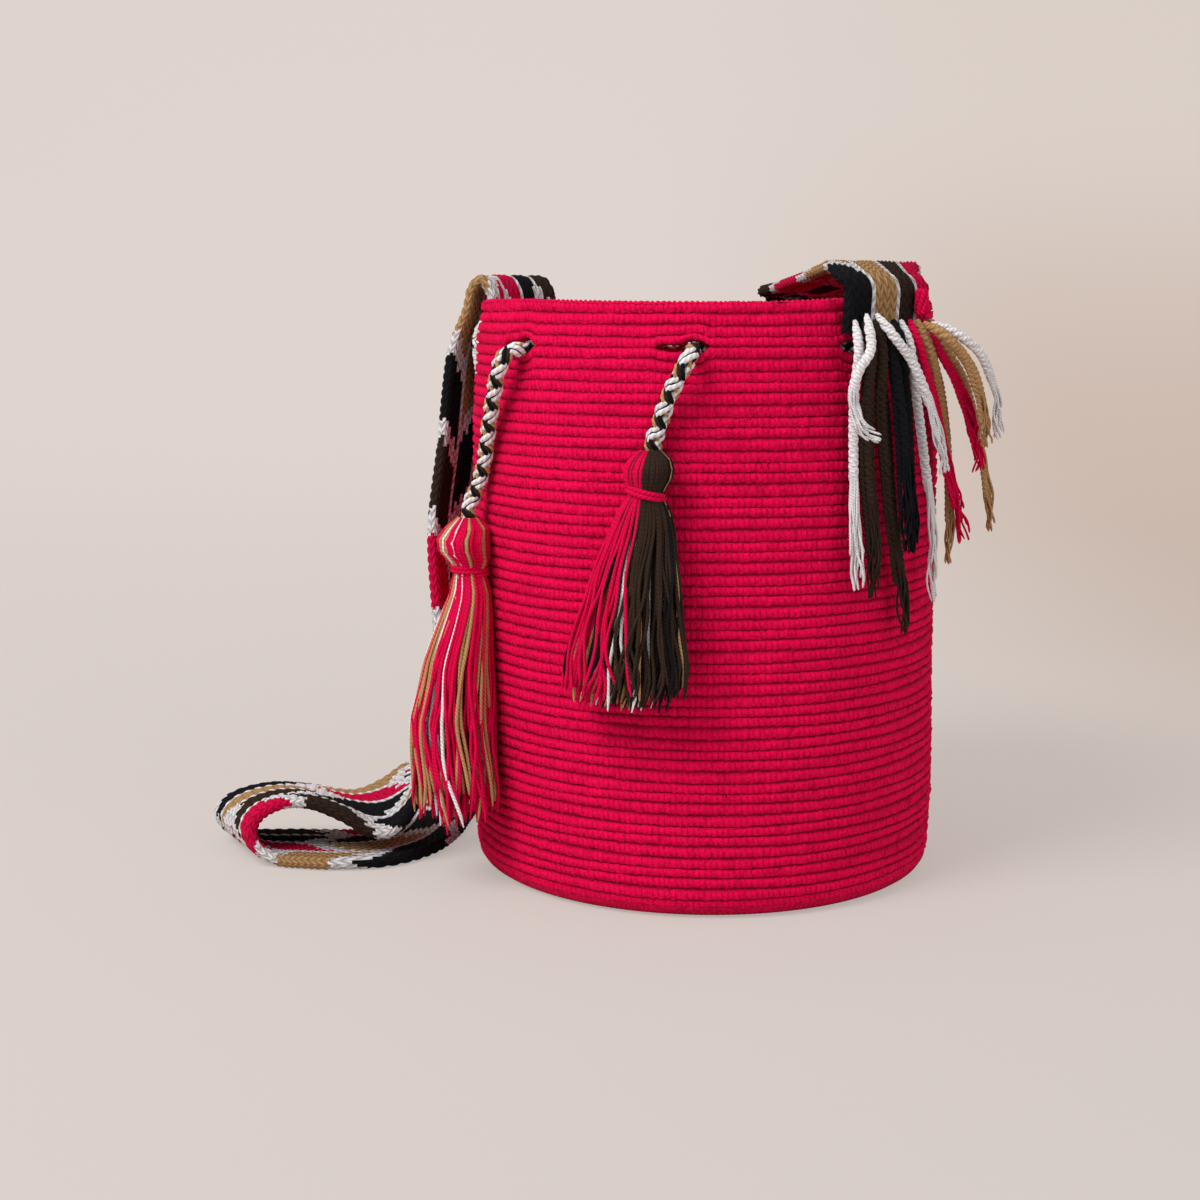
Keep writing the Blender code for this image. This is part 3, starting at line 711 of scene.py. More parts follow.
# Share of the head's length and of its width
HEAD_SECTIONS = ((0.0, 0.42), (0.12, 0.70), (0.34, 0.96), (0.58, 1.0), (0.82, 0.82))
NECK_SECTIONS = (0.99, 1.07)
SKIRT_SECTIONS = (0.07, 0.18, 0.36, 0.58, 0.80, 0.94, 1.0)
OUTER_SHARE = 0.46


def tassel_sections(head_width, head_length, skirt_width, skirt_length, thickness):
    """Distance down, half width and half thickness."""
    neck = NECK_WIDTH / 2
    sections = []
    for share, size in HEAD_SECTIONS:
        half = head_width / 2 * size
        sections.append((head_length * share, half, half * 0.9))
    for share in NECK_SECTIONS:
        sections.append((head_length * share, neck, neck))
    for share in SKIRT_SECTIONS:
        spread = share**0.62 * (1.0 - 0.4 * max(0.0, share - 0.8))
        half_width = neck + (skirt_width / 2 - neck) * spread
        half_depth = neck + (thickness / 2 - neck) * min(1, 2 * share)
        down = head_length * NECK_SECTIONS[-1] + skirt_length * share
        sections.append((down, half_width, half_depth))
    return np.array(sections)


class Tassel:
    """Where the middle and the sections of one tassel lie."""

    def __init__(self, end, lean, head_width, head_length, skirt_width, skirt_length, thickness):
        azimuth, out, drop = end
        self.top = (azimuth, out, SLIT_HEIGHT_UP + drop - 0.0006)
        self.lean = lean
        self.head_length = head_length
        self.sections = tassel_sections(
            head_width, head_length, skirt_width, skirt_length, thickness
        )
        self.length = self.sections[-1][0]

    def directions(self, side):
        """Along the wall and out from it."""
        angle = math.radians(side)
        across = np.array([math.cos(angle), math.sin(angle), 0.0])
        return across, np.array([across[1], -across[0], 0.0])

    def place(self, down, turn, reach):
        """The point on the skirt or head at a turn round it, reach from its middle."""
        azimuth, out, height = self.top
        half_width = np.interp(down, self.sections[:, 0], self.sections[:, 1])
        half_depth = np.interp(down, self.sections[:, 0], self.sections[:, 2])
        share = down / self.length
        level = height - down
        clear = wall_radius(level) + CLEAR + max(half_depth * 1.055, NECK_WIDTH * 0.5275 + 0.0025)
        start = LACING_RADIUS + out
        radius = max(start + (clear - start) * min(1.0, 2.2 * share), clear)
        side = azimuth + self.lean * share
        across, outward = self.directions(side)
        offset = across * half_width * math.cos(turn) + outward * half_depth * math.sin(turn)
        return around(side, radius, level) + offset * reach

    def seen(self, turn, reach):
        """How far right of the tassel's middle a yarn lies for the camera, -1 to 1."""
        across, outward = self.directions(self.top[0] + self.lean * 0.7)
        offset = across * math.cos(turn) + outward * math.sin(turn)
        return float(np.dot(offset, TO_CAMERA_RIGHT)) * reach


def hanging_yarn(tassel, turn, reach, start, finish, steps, drift):
    """A yarn over the head or from the neck, down the skirt, clear of the wall."""
    knots = []
    for step in range(steps + 1):
        down = start + (finish - start) * step / steps
        loose = max(0.0, (down - tassel.head_length * 1.1) / tassel.length)
        bent = turn + 0.30 * loose * drift[0] + 0.18 * math.sin(7 * loose + drift[2]) * loose
        bent += 0.10 * math.sin(16 * loose + 3 * drift[4]) * loose
        wide = min(1.04, reach * (1 + 0.10 * loose * drift[1]))
        point = tassel.place(min(down, tassel.length), bent, wide)
        point[2] -= max(0.0, down - tassel.length)
        point[0] += 0.0009 * loose * math.sin(20 * loose + drift[3])
        flat = math.hypot(point[0], point[1])
        least = wall_radius(point[2]) + TASSEL_YARN + 0.0004
        if flat < least:
            point[:2] *= least / flat
        knots.append(point)
    return np.array(knots)


def make_tassel(side, tassel, count, colour_of, ends):
    name = f"{side}_tassel_yarns"
    random = seeded(name)
    yarns = Yarns()
    golden = math.pi * (3 - math.sqrt(5))
    outer = int(count * OUTER_SHARE)
    for index in range(count):
        if index < outer:
            turn = 2 * math.pi * (index + random.uniform(-0.3, 0.3)) / outer
            reach = random.uniform(0.90, 1.02)
            start = 0.0
        else:
            turn = index * golden
            reach = 0.88 * math.sqrt((index - outer + 0.5) / (count - outer))
            start = tassel.head_length * 0.9
        colour = colour_of(tassel.seen(turn, reach), random, index < outer)
        finish = tassel.length + random.uniform(*ends) - (0.006 if index < outer else 0.0)
        steps = 26 if index < outer else 16
        line = hanging_yarn(tassel, turn, reach, start, finish, steps, random.normal(0, 1, 5))
        size = TASSEL_YARN * random.uniform(0.86, 1.08)
        yarns.lay(line, size, colour, twist_length=TASSEL_TWIST)
    return yarns.piece(name, [f"{side}_tassel"], f"{side}_tassel_yarn")


def right_colours(seen, random, outer):
    """Red at the left, brown and black at the right, with white and tan inside."""
    pick = random.uniform()
    if not outer and pick < 0.26:
        return ("white", "tan", "black")[int(pick * 100) % 3]
    if seen < -0.40 + 0.10 * (pick - 0.5):
        return "crimson" if pick > 0.05 else "black"
    if outer and (-0.40 < seen < -0.34 or 0.82 < seen < 0.87):
        return "tan"
    if seen > 0.55:
        return "black" if pick < 0.65 else "brown"
    return "brown" if pick < 0.93 else "tan"


def left_colours(seen, random, outer):
    """Mostly red, with tan and white at the left and two groups of tan."""
    pick = random.uniform()
    if outer and seen < -0.52:
        if pick < 0.42:
            return "tan"
        return "white" if pick < 0.56 else "crimson"
    if outer and (0.06 < seen < 0.24 or 0.62 < seen < 0.86):
        return "tan" if pick < 0.62 else "crimson"
    if not outer and seen < -0.30:
        return "white" if pick < 0.35 else "crimson"
    if not outer and pick < 0.16:
        return "black" if pick < 0.06 else "tan"
    return "crimson" if pick > 0.05 else "white"


right_form = Tassel(RIGHT_END[-1], -5.6, 0.024, 0.020, 0.066, 0.102, 0.028)
left_form = Tassel(LEFT_END[-1], 4.3, 0.029, 0.026, 0.054, 0.130, 0.042)
right_tassel = make_tassel("right", right_form, 215, right_colours, (-0.005, 0.002))
left_tassel = make_tassel("left", left_form, 235, left_colours, (-0.017, 0.003))


# Tassel ties: crimson yarn wound twice round each tassel's neck and pulled tight, which
# parts the head from the skirt.
TIE_YARN = 0.00115
TIE_TURNS = 2
TIE_STEPS = 44
TIE_PITCH = 0.0021
TIE_OUT = 0.0016


def make_tie(side, tassel, tilt):
    neck_down = tassel.head_length * NECK_DOWN
    middle = tassel.place(neck_down, 0.0, 0.0)
    points = []
    for step in range(TIE_STEPS + 1):
        turn = 2 * math.pi * TIE_TURNS * step / TIE_STEPS
        down = neck_down + TIE_PITCH * (step / TIE_STEPS - 0.5) * TIE_TURNS
        down += tilt * math.cos(turn)
        spoke = (tassel.place(neck_down, turn, 1.0) - middle) * (1 + TIE_OUT / (NECK_WIDTH / 2))
        points.append(tassel.place(down, 0.0, 0.0) + spoke)
    yarns = Yarns()
    yarns.lay(points, TIE_YARN, "crimson", sides=8, twist_length=TASSEL_TWIST)
    return yarns.piece(f"{side}_tie_winding", [f"{side}_tassel_tie"], "tie_yarn")


right_tie = make_tie("right", right_form, 0.0026)
left_tie = make_tie("left", left_form, 0.0006)


# Shoulder strap: one flat plaited band of the five yarns, sewn on at both sides, whose
# slack lies on the floor in a loop. Its yarns show as columns of slanted stitches in four
# lanes, and each lane changes colour in turn, with white stitches between.
STRAP_WIDTH = 0.062
STRAP_THICKNESS = 0.007
STRAP_END_UP = 0.2895
TOUCH = 0.0003
FLOOR_LEVEL = STRAP_THICKNESS / 2 + TOUCH
# At the left seam and fold: how far out, the height, degrees from the seam
LEFT_HANG = (
    (0.0003, STRAP_END_UP, 0.0),
    (0.0003, 0.300, 0.0),
    (0.0010, 0.3095, 0.0),
    (0.0070, 0.3165, 0.0),
    (0.0135, 0.3115, 0.3),
    (0.0165, 0.299, 1.0),
)
# The fall and the loop on the floor: the middle, the way across and its rise in degrees
LEFT_FLOOR = (
    ((-0.147, -0.005, 0.270), 92, -6),
    ((-0.142, -0.022, 0.220), 93, -13),
    ((-0.137, -0.040, 0.170), 95, -14),
    ((-0.127, -0.054, 0.115), 102, -14),
    ((-0.125, -0.068, 0.072), 111, -6),
    ((-0.130, -0.081, 0.044), 116, 12),
    ((-0.141, -0.092, 0.0305), 122, 22),
    ((-0.152, -0.100, 0.0255), 122, 13),
    ((-0.165, -0.109, 0.0270), 124, -3),
    ((-0.180, -0.119, 0.0320), 127, -7),
    ((-0.197, -0.130, 0.0330), 137, -5),
    ((-0.211, -0.1395, 0.0275), 146, -3),
    ((-0.217, -0.1435, 0.0185), 151, -2),
    ((-0.213, -0.1415, 0.0090), 150, -1),
    ((-0.202, -0.137, FLOOR_LEVEL + 0.0005), 147, 0),
    ((-0.184, -0.127, FLOOR_LEVEL), 133, 0),
    ((-0.165, -0.117, FLOOR_LEVEL), 125, 0),
    ((-0.151, -0.104, FLOOR_LEVEL), 145, 0),
    ((-0.149, -0.084, FLOOR_LEVEL), 168, 0),
    ((-0.157, -0.060, FLOOR_LEVEL), 188, 0),
    ((-0.170, -0.035, FLOOR_LEVEL), 200, 0),
    ((-0.189, 0.013, FLOOR_LEVEL), 190, 0),
    ((-0.188, 0.074, FLOOR_LEVEL), 160, 0),
    ((-0.154, 0.130, FLOOR_LEVEL), 131, 0),
    ((-0.108, 0.157, FLOOR_LEVEL), 104, 0),
    ((-0.066, 0.155, FLOOR_LEVEL + 0.001), 62, 0),
)
# Up the back of the bag: azimuth, gap to the wall, height
BACK_CLIMB = (
    (-157.5, 0.0060, 0.018),
    (-158.5, 0.0022, 0.045),
    (-162.0, 0.0014, 0.100),
    (-168.0, 0.0014, 0.180),
    (-174.0, 0.0060, 0.240),
    (-178.5, 0.0130, 0.280),
    (-180.5, 0.0125, 0.300),
)
# Over the mouth: the middle and the way across in degrees
MOUTH_ARCH = (
    ((0.002, 0.1225, 0.3100), 0),
    ((0.011, 0.101, 0.3105), 6),
    ((0.037, 0.073, 0.3125), 20),
    ((0.067, 0.041, 0.3165), 36),
    ((0.090, 0.012, 0.3205), 54),
    ((0.1035, -0.014, 0.3215), 67),
)
# At the right fold and seam: as at the left
RIGHT_FOLD = (
    (-0.0040, 0.3165, 0.0),
    (0.0012, 0.3115, 0.0),
    (0.0010, 0.300, 0.0),
    (0.0003, STRAP_END_UP, 0.0),
)
# Legs of stitches on each flat side and round each edge, and mesh rows a stitch
FLAT_LEGS = 22
EDGE_LEGS = 4
ALL_LEGS = 2 * (FLAT_LEGS + EDGE_LEGS)
STITCH_LONG = 0.0052
STRAP_SAMPLES = 3
CREST_RELIEF = 0.00065
STITCH_RELIEF = 0.00045
STITCH_LEAN = 0.17
LANE_LONG = 0.055
LANE_COLOURS = ("black", "tan", "crimson", "brown")
LANE_STARTS = (0, 1, 3, 2)
LANE_LAG = (0.004, 0.022, 0.022, 0.022)
LANE_MIDDLES = (0.12, 0.385, 0.635, 0.88)
LANE_SLANT = 1.6
WHITE_LEGS = (6, 13, 19)
WHITE_SHARE = 0.24


def seam_stations(seam, route, across):
    seat = wall_radius(STRAP_END_UP) + STRAP_THICKNESS / 2 + TOUCH
    return [
        (around(seam + offset, seat + out, height), seam + offset + across, 0.0, 1 / (seat + out))
        for out, height, offset in route
    ]


def strap_stations():
    """The middle, the way across, its rise, and how much the band bends across."""
    stations = seam_stations(LEFT_SEAM, LEFT_HANG, 180)
    for place, across, rise in LEFT_FLOOR:
        stations.append((np.array(place), across, rise, 0.0))
    for azimuth, gap, height in BACK_CLIMB:
        radius = wall_radius(height) + STRAP_THICKNESS / 2 + gap
        stations.append((around(azimuth, radius, height), azimuth + 180, 0.0, 1 / radius))
    for place, across in MOUTH_ARCH:
        stations.append((np.array(place), across, 0.0, 0.0))
    return stations + seam_stations(RIGHT_SEAM, RIGHT_FOLD, 0)


def across_vector(turn, rise):
    flat = math.cos(math.radians(rise))
    turn = math.radians(turn)
    return np.array([math.cos(turn) * flat, math.sin(turn) * flat, math.sin(math.radians(rise))])


def strap_lines():
    """Both edges and the bend of the band, at an even spacing along its middle."""
    stations = strap_stations()
    halves = [across_vector(turn, rise) * STRAP_WIDTH / 2 for _, turn, rise, _ in stations]
    near = smooth_curve([station[0] - half for station, half in zip(stations, halves)])
    far = smooth_curve([station[0] + half for station, half in zip(stations, halves)])
    bends = np.maximum(0.0, smooth_curve([station[3] for station in stations]))
    run = run_along((near + far) / 2)
    at = np.linspace(0, run[-1], int(run[-1] / STITCH_LONG) * STRAP_SAMPLES + 1)
    return spread_along(near, run, at), spread_along(far, run, at), np.interp(at, run, bends), at


def stitch_colour(from_end, leg):
    """Colour of a stitch: its lane's turn in the cycle, or the white between."""
    if leg in WHITE_LEGS:
        return "white"
    lane = sum(leg > edge for edge in WHITE_LEGS)
    share = (leg + 0.5) / (FLAT_LEGS + EDGE_LEGS)
    slant = (1 if lane % 2 == 0 else -1) * (share - LANE_MIDDLES[lane]) * LANE_SLANT
    cell = max(0.0, (from_end - LANE_LAG[lane]) / LANE_LONG + slant)
    if cell - math.floor(cell) > 1 - WHITE_SHARE:
        return "white"
    return LANE_COLOURS[(int(math.floor(cell)) + LANE_STARTS[lane]) % 4]


def strap_section():
    """Once round the band: half-leg points across it, and the way out of each."""
    half_flat = (STRAP_WIDTH - STRAP_THICKNESS) / 2
    reach = []
    level = []
    for side in (1, -1):
        for spot in range(2 * FLAT_LEGS):
            reach.append(side * half_flat * (spot / FLAT_LEGS - 1))
            level.append((0.0, side))
        for spot in range(2 * EDGE_LEGS):
            turn = math.pi * spot / 2 / EDGE_LEGS
            reach.append(side * half_flat)
            level.append((side * math.sin(turn), side * math.cos(turn)))
    return np.array(reach), np.array(level)


def column_of(leg):
    """The column that a leg shows on both sides of the band, counted from one edge."""
    half_edge = EDGE_LEGS // 2
    if leg < FLAT_LEGS + half_edge:
        return leg + half_edge
    if leg < ALL_LEGS - half_edge:
        return ALL_LEGS - half_edge - leg - 1
    return leg - (ALL_LEGS - half_edge)


def plait_material(name, colour):
    """Plaited yarn: U counts stitches and V counts their slanted legs, with painted shade in the
    gaps.
    """
    made, shader = new_material(name, colour, YARN_ROUGHNESS, YARN_SHEEN)
    nodes = Nodes(made)
    stitch, leg = nodes.pattern_place()
    slanted = nodes.math("MULTIPLY_ADD", nodes.math("PINGPONG", leg, 1.0), 0.8, stitch)
    ridge = nodes.math("MULTIPLY", nodes.math("FRACT", slanted), math.pi)
    ridge = nodes.math("SINE", ridge)
    column = nodes.math("ABSOLUTE", nodes.math("SINE", nodes.math("MULTIPLY", leg, math.pi)))
    body = nodes.math("MULTIPLY", ridge, nodes.math("MULTIPLY_ADD", column, 0.6, 0.4))
    ply = nodes.math("SINE", nodes.math("MULTIPLY", slanted, 8 * math.pi))
    height = nodes.math("MULTIPLY_ADD", nodes.noise(1500.0), 0.45, body)
    height = nodes.math("MULTIPLY_ADD", ply, 0.10, height)
    # Painted shade in the gaps between the slanted legs and painted light on their crests
    nodes.dress(shader, colour, nodes.ramp(height, 0.1, 1.1, 0.34, 1.12), height, 0.9, 0.0012)
    return made


def make_strap():
    near, far, bends, run = strap_lines()
    count = len(run)
    middle = (near + far) / 2
    across = unit(far - near)
    along = np.gradient(middle, axis=0)
    along = unit(along - across * np.sum(along * across, axis=1)[:, None])
    up = np.cross(along, across)
    inward = unit(middle * (-1.0, -1.0, 0.0))
    reach, level = strap_section()
    spot = np.arange(2 * ALL_LEGS)
    crest = spot % 2
    lean = STITCH_LEAN * np.where(spot // 2 % 2 == 0, 1.0, -1.0)
    phase = np.arange(count)[:, None] / STRAP_SAMPLES
    stitch = np.cos(2 * math.pi * (phase + lean[None, :]))
    relief = CREST_RELIEF * (crest - 0.6) + STITCH_RELIEF * stitch * crest
    thick = STRAP_THICKNESS / 2 - 0.0004 + relief
    wide = reach + level[:, 0] * thick
    points = middle[:, None] + wide[:, :, None] * across[:, None]
    points = points + (level[:, 1] * thick)[:, :, None] * up[:, None]
    points = points + (bends[:, None] * wide**2 / 2)[:, :, None] * inward[:, None]
    # Where a crest would sink into the floor it is pressed flat
    low = points[:, :, 2]
    points[:, :, 2] = np.where(low < 0.0002, 0.0002 + 0.1 * np.maximum(low, -0.002), low)
    v, u = np.meshgrid(spot / 2, np.arange(count) / STRAP_SAMPLES)
    skin = Skin()
    skin.band(points, np.stack([u, v], axis=2), (0, ALL_LEGS))
    colours = np.empty((count - 1, 2 * ALL_LEGS), np.int32)
    for index in range(count - 1):
        for leg in range(ALL_LEGS):
            stitch = math.floor(index / STRAP_SAMPLES + (0.3 if leg % 2 == 0 else -0.3))
            colour = stitch_colour(run[-1] - stitch * STITCH_LONG, column_of(leg))
            colours[index, 2 * leg : 2 * leg + 2] = YARN_ORDER.index(colour)
    materials = [plait_material(f"plait_{name}", colour) for name, colour in COLOURS.items()]
    made = skin.made("plaited_strap", materials)
    return finish_piece(made, ["shoulder_strap"], colours.ravel()), middle


strap, strap_middle = make_strap()


# Seam stitching: crimson yarn that whips each end of the strap to the wall, in a row of
# small stitches under the end of the band.
SEAM_YARN = 0.0007
SEAM_STITCH = 0.0022
SEAM_STEP = 0.0006
SEAM_TURN = 0.0034
SEAM_WHIP = 0.0005


def make_seam(side, seam):
    half_span = math.degrees(STRAP_WIDTH / 2 / LACING_RADIUS) * 0.92
    level = STRAP_END_UP - SEAM_STITCH / 2 - TOUCH
    radius = wall_radius(level) + SEAM_STITCH / 2 + TOUCH
    knots = [around(seam + half_span * (k / 5 - 1), radius, level) for k in range(11)]
    line = resample(knots, SEAM_STEP)
    one, two = moving_frames(line)
    turn = np.arange(len(line)) * SEAM_STEP / SEAM_TURN * 2 * math.pi
    whipped = line + SEAM_WHIP * (np.cos(turn)[:, None] * one + np.sin(turn)[:, None] * two)
    yarns = Yarns()
    yarns.lay(whipped, SEAM_YARN, "crimson")
    return yarns.piece(f"{side}_seam_yarn", [f"{side}_seam_stitching"], "seam_thread")


make_seam("right", RIGHT_SEAM)
make_seam("left", LEFT_SEAM)


# Fringes: at each end of the strap its own yarns go on as twisted ropes, each of one
# colour, whose yarns come loose towards the end. They pass out over the drawstring and
# hang down. The tails of the left end are hidden in the photograph.
TAIL_ROUTES = {
    "white_2": [(61.6, 0.1327, 0.296), (61.2, 0.1378, 0.281), (61.6, 0.1335, 0.258),
                (62.0, 0.1330, 0.224), (62.6, 0.1330, 0.187), (63.6, 0.1330, 0.165)],
    "brown_1": [(64.3, 0.1326, 0.296), (64.3, 0.1378, 0.281), (64.6, 0.1345, 0.258),
                (65.4, 0.1335, 0.224), (67.6, 0.1330, 0.189), (67.4, 0.1330, 0.160)],
    "brown_2": [(67.0, 0.1325, 0.296), (67.2, 0.1378, 0.281), (68.6, 0.1345, 0.257),
                (72.2, 0.1330, 0.208), (75.0, 0.1330, 0.182), (79.1, 0.1330, 0.140)],
    "black_1": [(69.7, 0.1328, 0.296), (69.9, 0.1380, 0.281), (71.2, 0.1400, 0.257),
                (72.8, 0.1400, 0.232), (74.5, 0.1395, 0.183)],
    "black_2": [(72.4, 0.1326, 0.296), (72.8, 0.1378, 0.281), (75.6, 0.1350, 0.257),
                (78.8, 0.1335, 0.217), (80.6, 0.1335, 0.180)],
    "white_4": [(75.1, 0.1323, 0.296), (75.8, 0.1378, 0.281), (80.5, 0.1350, 0.253),
                (83.7, 0.1345, 0.230), (87.3, 0.1345, 0.200), (89.3, 0.1345, 0.153)],
    "red_1": [(77.8, 0.1327, 0.296), (79.2, 0.1378, 0.281), (84.6, 0.1360, 0.262),
              (89.5, 0.1360, 0.240), (94.5, 0.1375, 0.215), (102.0, 0.1420, 0.182)],
    "tan_2": [(80.5, 0.1328, 0.296), (82.6, 0.1378, 0.281), (89.5, 0.1350, 0.262),
              (96.0, 0.1342, 0.235), (99.8, 0.1340, 0.205), (101.1, 0.1340, 0.169)],
    "red_2": [(83.2, 0.1325, 0.296), (85.6, 0.1390, 0.281), (91.0, 0.1440, 0.263),
              (96.5, 0.1470, 0.242), (99.3, 0.1490, 0.219)],
    "tan_3": [(85.9, 0.1325, 0.296), (88.8, 0.1390, 0.281), (95.2, 0.1440, 0.262),
              (103.5, 0.1490, 0.226), (110.0, 0.1530, 0.185)],
    "white_1": [(62.9, 0.1376, 0.299), (62.3, 0.1437, 0.283), (59.9, 0.1425, 0.272),
                (59.2, 0.1400, 0.259), (60.6, 0.1420, 0.246), (63.8, 0.1460, 0.238)],
    "white_3": [(65.65, 0.1368, 0.299), (68.0, 0.1440, 0.288), (72.5, 0.1462, 0.275),
                (77.0, 0.1470, 0.256), (79.9, 0.1475, 0.238), (82.7, 0.1480, 0.221)],
    "tan_1": [(79.15, 0.1388, 0.2945), (82.4, 0.1480, 0.2870), (88.0, 0.1530, 0.273),
              (92.5, 0.1550, 0.254), (94.5, 0.1550, 0.232)],
    "white_5": [(82.1, 0.1388, 0.2945), (85.2, 0.1500, 0.2885), (90.7, 0.1570, 0.277),
                (95.5, 0.1595, 0.256), (97.0, 0.1595, 0.236)],
    "white_6": [(-80.5, 0.1322, 0.296), (-80.5, 0.1376, 0.281), (-80.0, 0.1335, 0.250),
                (-80.5, 0.1330, 0.205)],
    "black_3": [(-84.0, 0.1322, 0.296), (-84.0, 0.1376, 0.281), (-83.2, 0.1335, 0.250),
                (-83.5, 0.1330, 0.195)],
    "brown_3": [(-88.0, 0.1324, 0.296), (-88.0, 0.1376, 0.281), (-88.0, 0.1335, 0.245),
                (-87.5, 0.1330, 0.203)],
    "tan_4": [(-92.5, 0.1321, 0.296), (-92.5, 0.1376, 0.281), (-92.5, 0.1335, 0.245),
              (-92.5, 0.1330, 0.185)],
    "black_4": [(-97.0, 0.1325, 0.296), (-97.0, 0.1376, 0.281), (-97.5, 0.1335, 0.245),
                (-98.0, 0.1330, 0.175)],
    "red_3": [(-101.5, 0.1322, 0.296), (-101.5, 0.1376, 0.281), (-102.5, 0.1335, 0.245),
              (-104.0, 0.1330, 0.180)],
}
TAIL_STEP = 0.0012
TAIL_MOST = 0.0046
TAIL_TWIST = 0.0036
LOOSE_YARN = 0.00056
LOOSE_TWIST = 0.003
SIDE_YARN = 0.00082
SIDE_CORD_OUT = 0.0035
SIDE_CORD_TWIST = 0.0062
SIDE_CORD_FROM = 0.014
# Kind of tail: its yarn's colour, length of a twist, radius of a strand, the share of
# the length where the loose end starts, how many loose yarns, how much they curl and wave
TAIL_KINDS = {
    "white": ("white", 0.0125, 0.00128, 0.60, 13, 1.0, 8),
    "brown": ("brown", 0.0115, 0.00160, 0.66, 13, 1.0, 8),
    "black": ("black", 0.0125, 0.00168, 0.58, 13, 1.0, 8),
    "red": ("crimson", 0.0110, 0.00120, 0.40, 16, 1.8, 14),
    "tan": ("tan", 0.0100, 0.00150, 0.66, 13, 1.0, 8),
}


def tail_directions(path):
    """Across the tail along the wall, and out from the wall."""
    outward = unit(path * (1.0, 1.0, 0.0))
    tangent = unit(np.gradient(path, axis=0))
    across = unit(np.cross(tangent, outward))
    return across, np.cross(across, tangent)


def add_rope(yarns, path, across, face, run, kind, sway):
    """Three strands that start thin, where they leave the band, and end in the fray."""
    colour, twist, thick, fray_from = TAIL_KINDS[kind][:4]
    keep = int(len(path) * fray_from) + 3
    swell = np.clip(0.45 + run / 0.014, 0.45, 1.0)
    for strand in range(3):
        uneven = 0.5 * np.sin(run / 0.0075 + sway) + 0.4 * np.sin(run / 0.0031 + 2 * sway)
        turn = 2 * math.pi * (run / twist + strand / 3) + uneven
        off = (thick * 0.86 * swell)[:, None]
        centre = path + np.cos(turn)[:, None] * across * off + np.sin(turn)[:, None] * face * off
        size = thick * 1.14 * swell[:keep]
        size[-6:] *= np.linspace(1.0, 0.55, 6)
        yarns.lay(centre[:keep], size, colour, sides=8, twist_length=TAIL_TWIST)


def add_side_cords(yarns, path, across, face, run, colour, sway):
    """A thin two-strand cord at each side, parting from the rope further down."""
    part = np.clip((run - SIDE_CORD_FROM) / 0.034, 0, 1)
    apart = SIDE_CORD_OUT * part * part * (3 - 2 * part)
    for side, share in ((-1, 0.93), (1, 0.84)):
        keep = int(len(path) * share)
        drift = 0.0004 * np.sin(run / 0.017 + sway + side)
        middle = path + across * (side * (apart + drift * part))[:, None] + face * 0.0004
        for strand in range(2):
            turn = 2 * math.pi * (run / SIDE_CORD_TWIST + strand / 2) + side * sway
            line = middle + across * (SIDE_YARN * 0.8 * np.cos(turn))[:, None]
            line = line + face * (SIDE_YARN * 0.8 * np.sin(turn))[:, None]
            yarns.lay(line[:keep], SIDE_YARN, colour, twist_length=TAIL_TWIST)


def add_loose_yarns(yarns, path, across, face, kind, random):
    """Yarns that come out of the rope, spread and end one by one. Each third one stays
    near the middle and runs to the end."""
    colour, _, thick, fray_from, loose, curl, waves = TAIL_KINDS[kind]
    count = len(path)
    roped = int(count * fray_from)
    for index in range(loose):
        start = max(0, roped - int(random.integers(2, 8)))
        span = count - start
        part = np.linspace(0, 1, span)
        turn = 2 * math.pi * (index + random.uniform(-0.4, 0.4)) / loose
        first = thick * 1.5
        whole = index % 3 == 0
        last = TAIL_MOST * (random.uniform(0.15, 0.45) if whole else random.uniform(0.6, 1.0))
        reach = first + (last - first) * part ** random.uniform(0.5, 1.3)
        bend = random.normal(0, 1, 3)
        curled = 0.0014 * curl * part
        aside = reach * math.cos(turn) + curled * np.sin(waves * part + 3 * bend[0])
        height = np.abs(reach * math.sin(turn)) * 0.8 + curled * np.cos(12 * part + 3 * bend[1])
        cut = np.minimum(1.0, TAIL_MOST / np.maximum(np.hypot(aside, height), 1e-6))
        line = path[start:] + across[start:] * (aside * cut)[:, None]
        line = line + face[start:] * (height * cut)[:, None]
        keep = span if whole else max(6, int(span * random.uniform(0.62, 1.0)))
        size = LOOSE_YARN * random.uniform(0.9, 1.2)
        yarns.lay(line[:keep], size, colour, sides=5, twist_length=LOOSE_TWIST)


def make_tail(name, route):
    random = seeded(name)
    kind = name.split("_")[0]
    path = resample([around(*place) for place in route], TAIL_STEP)
    across, face = tail_directions(path)
    run = np.arange(len(path)) * TAIL_STEP
    sway = random.uniform(0, 6)
    yarns = Yarns()
    add_rope(yarns, path, across, face, run, kind, sway)
    if kind != "white":
        add_side_cords(yarns, path, across, face, run, TAIL_KINDS[kind][0], sway)
    add_loose_yarns(yarns, path, across, face, kind, random)
    return yarns.piece(f"rope_{name}", [f"tail_{name}"], f"{kind}_yarn"), path[:-2]


tails = [make_tail(name, route) for name, route in TAIL_ROUTES.items()]


# Knot: the cut end of a bundle of crimson yarns, knotted off on the strap's right end. It
# stands up from the fold of the band.
KNOT_ROUTE = ((81.4, 0.1342, 0.3110), (81.8, 0.1339, 0.2985))
KNOT_YARN = 0.00125
KNOT_SPREAD = 0.0021
KNOT_SWELL = 0.12

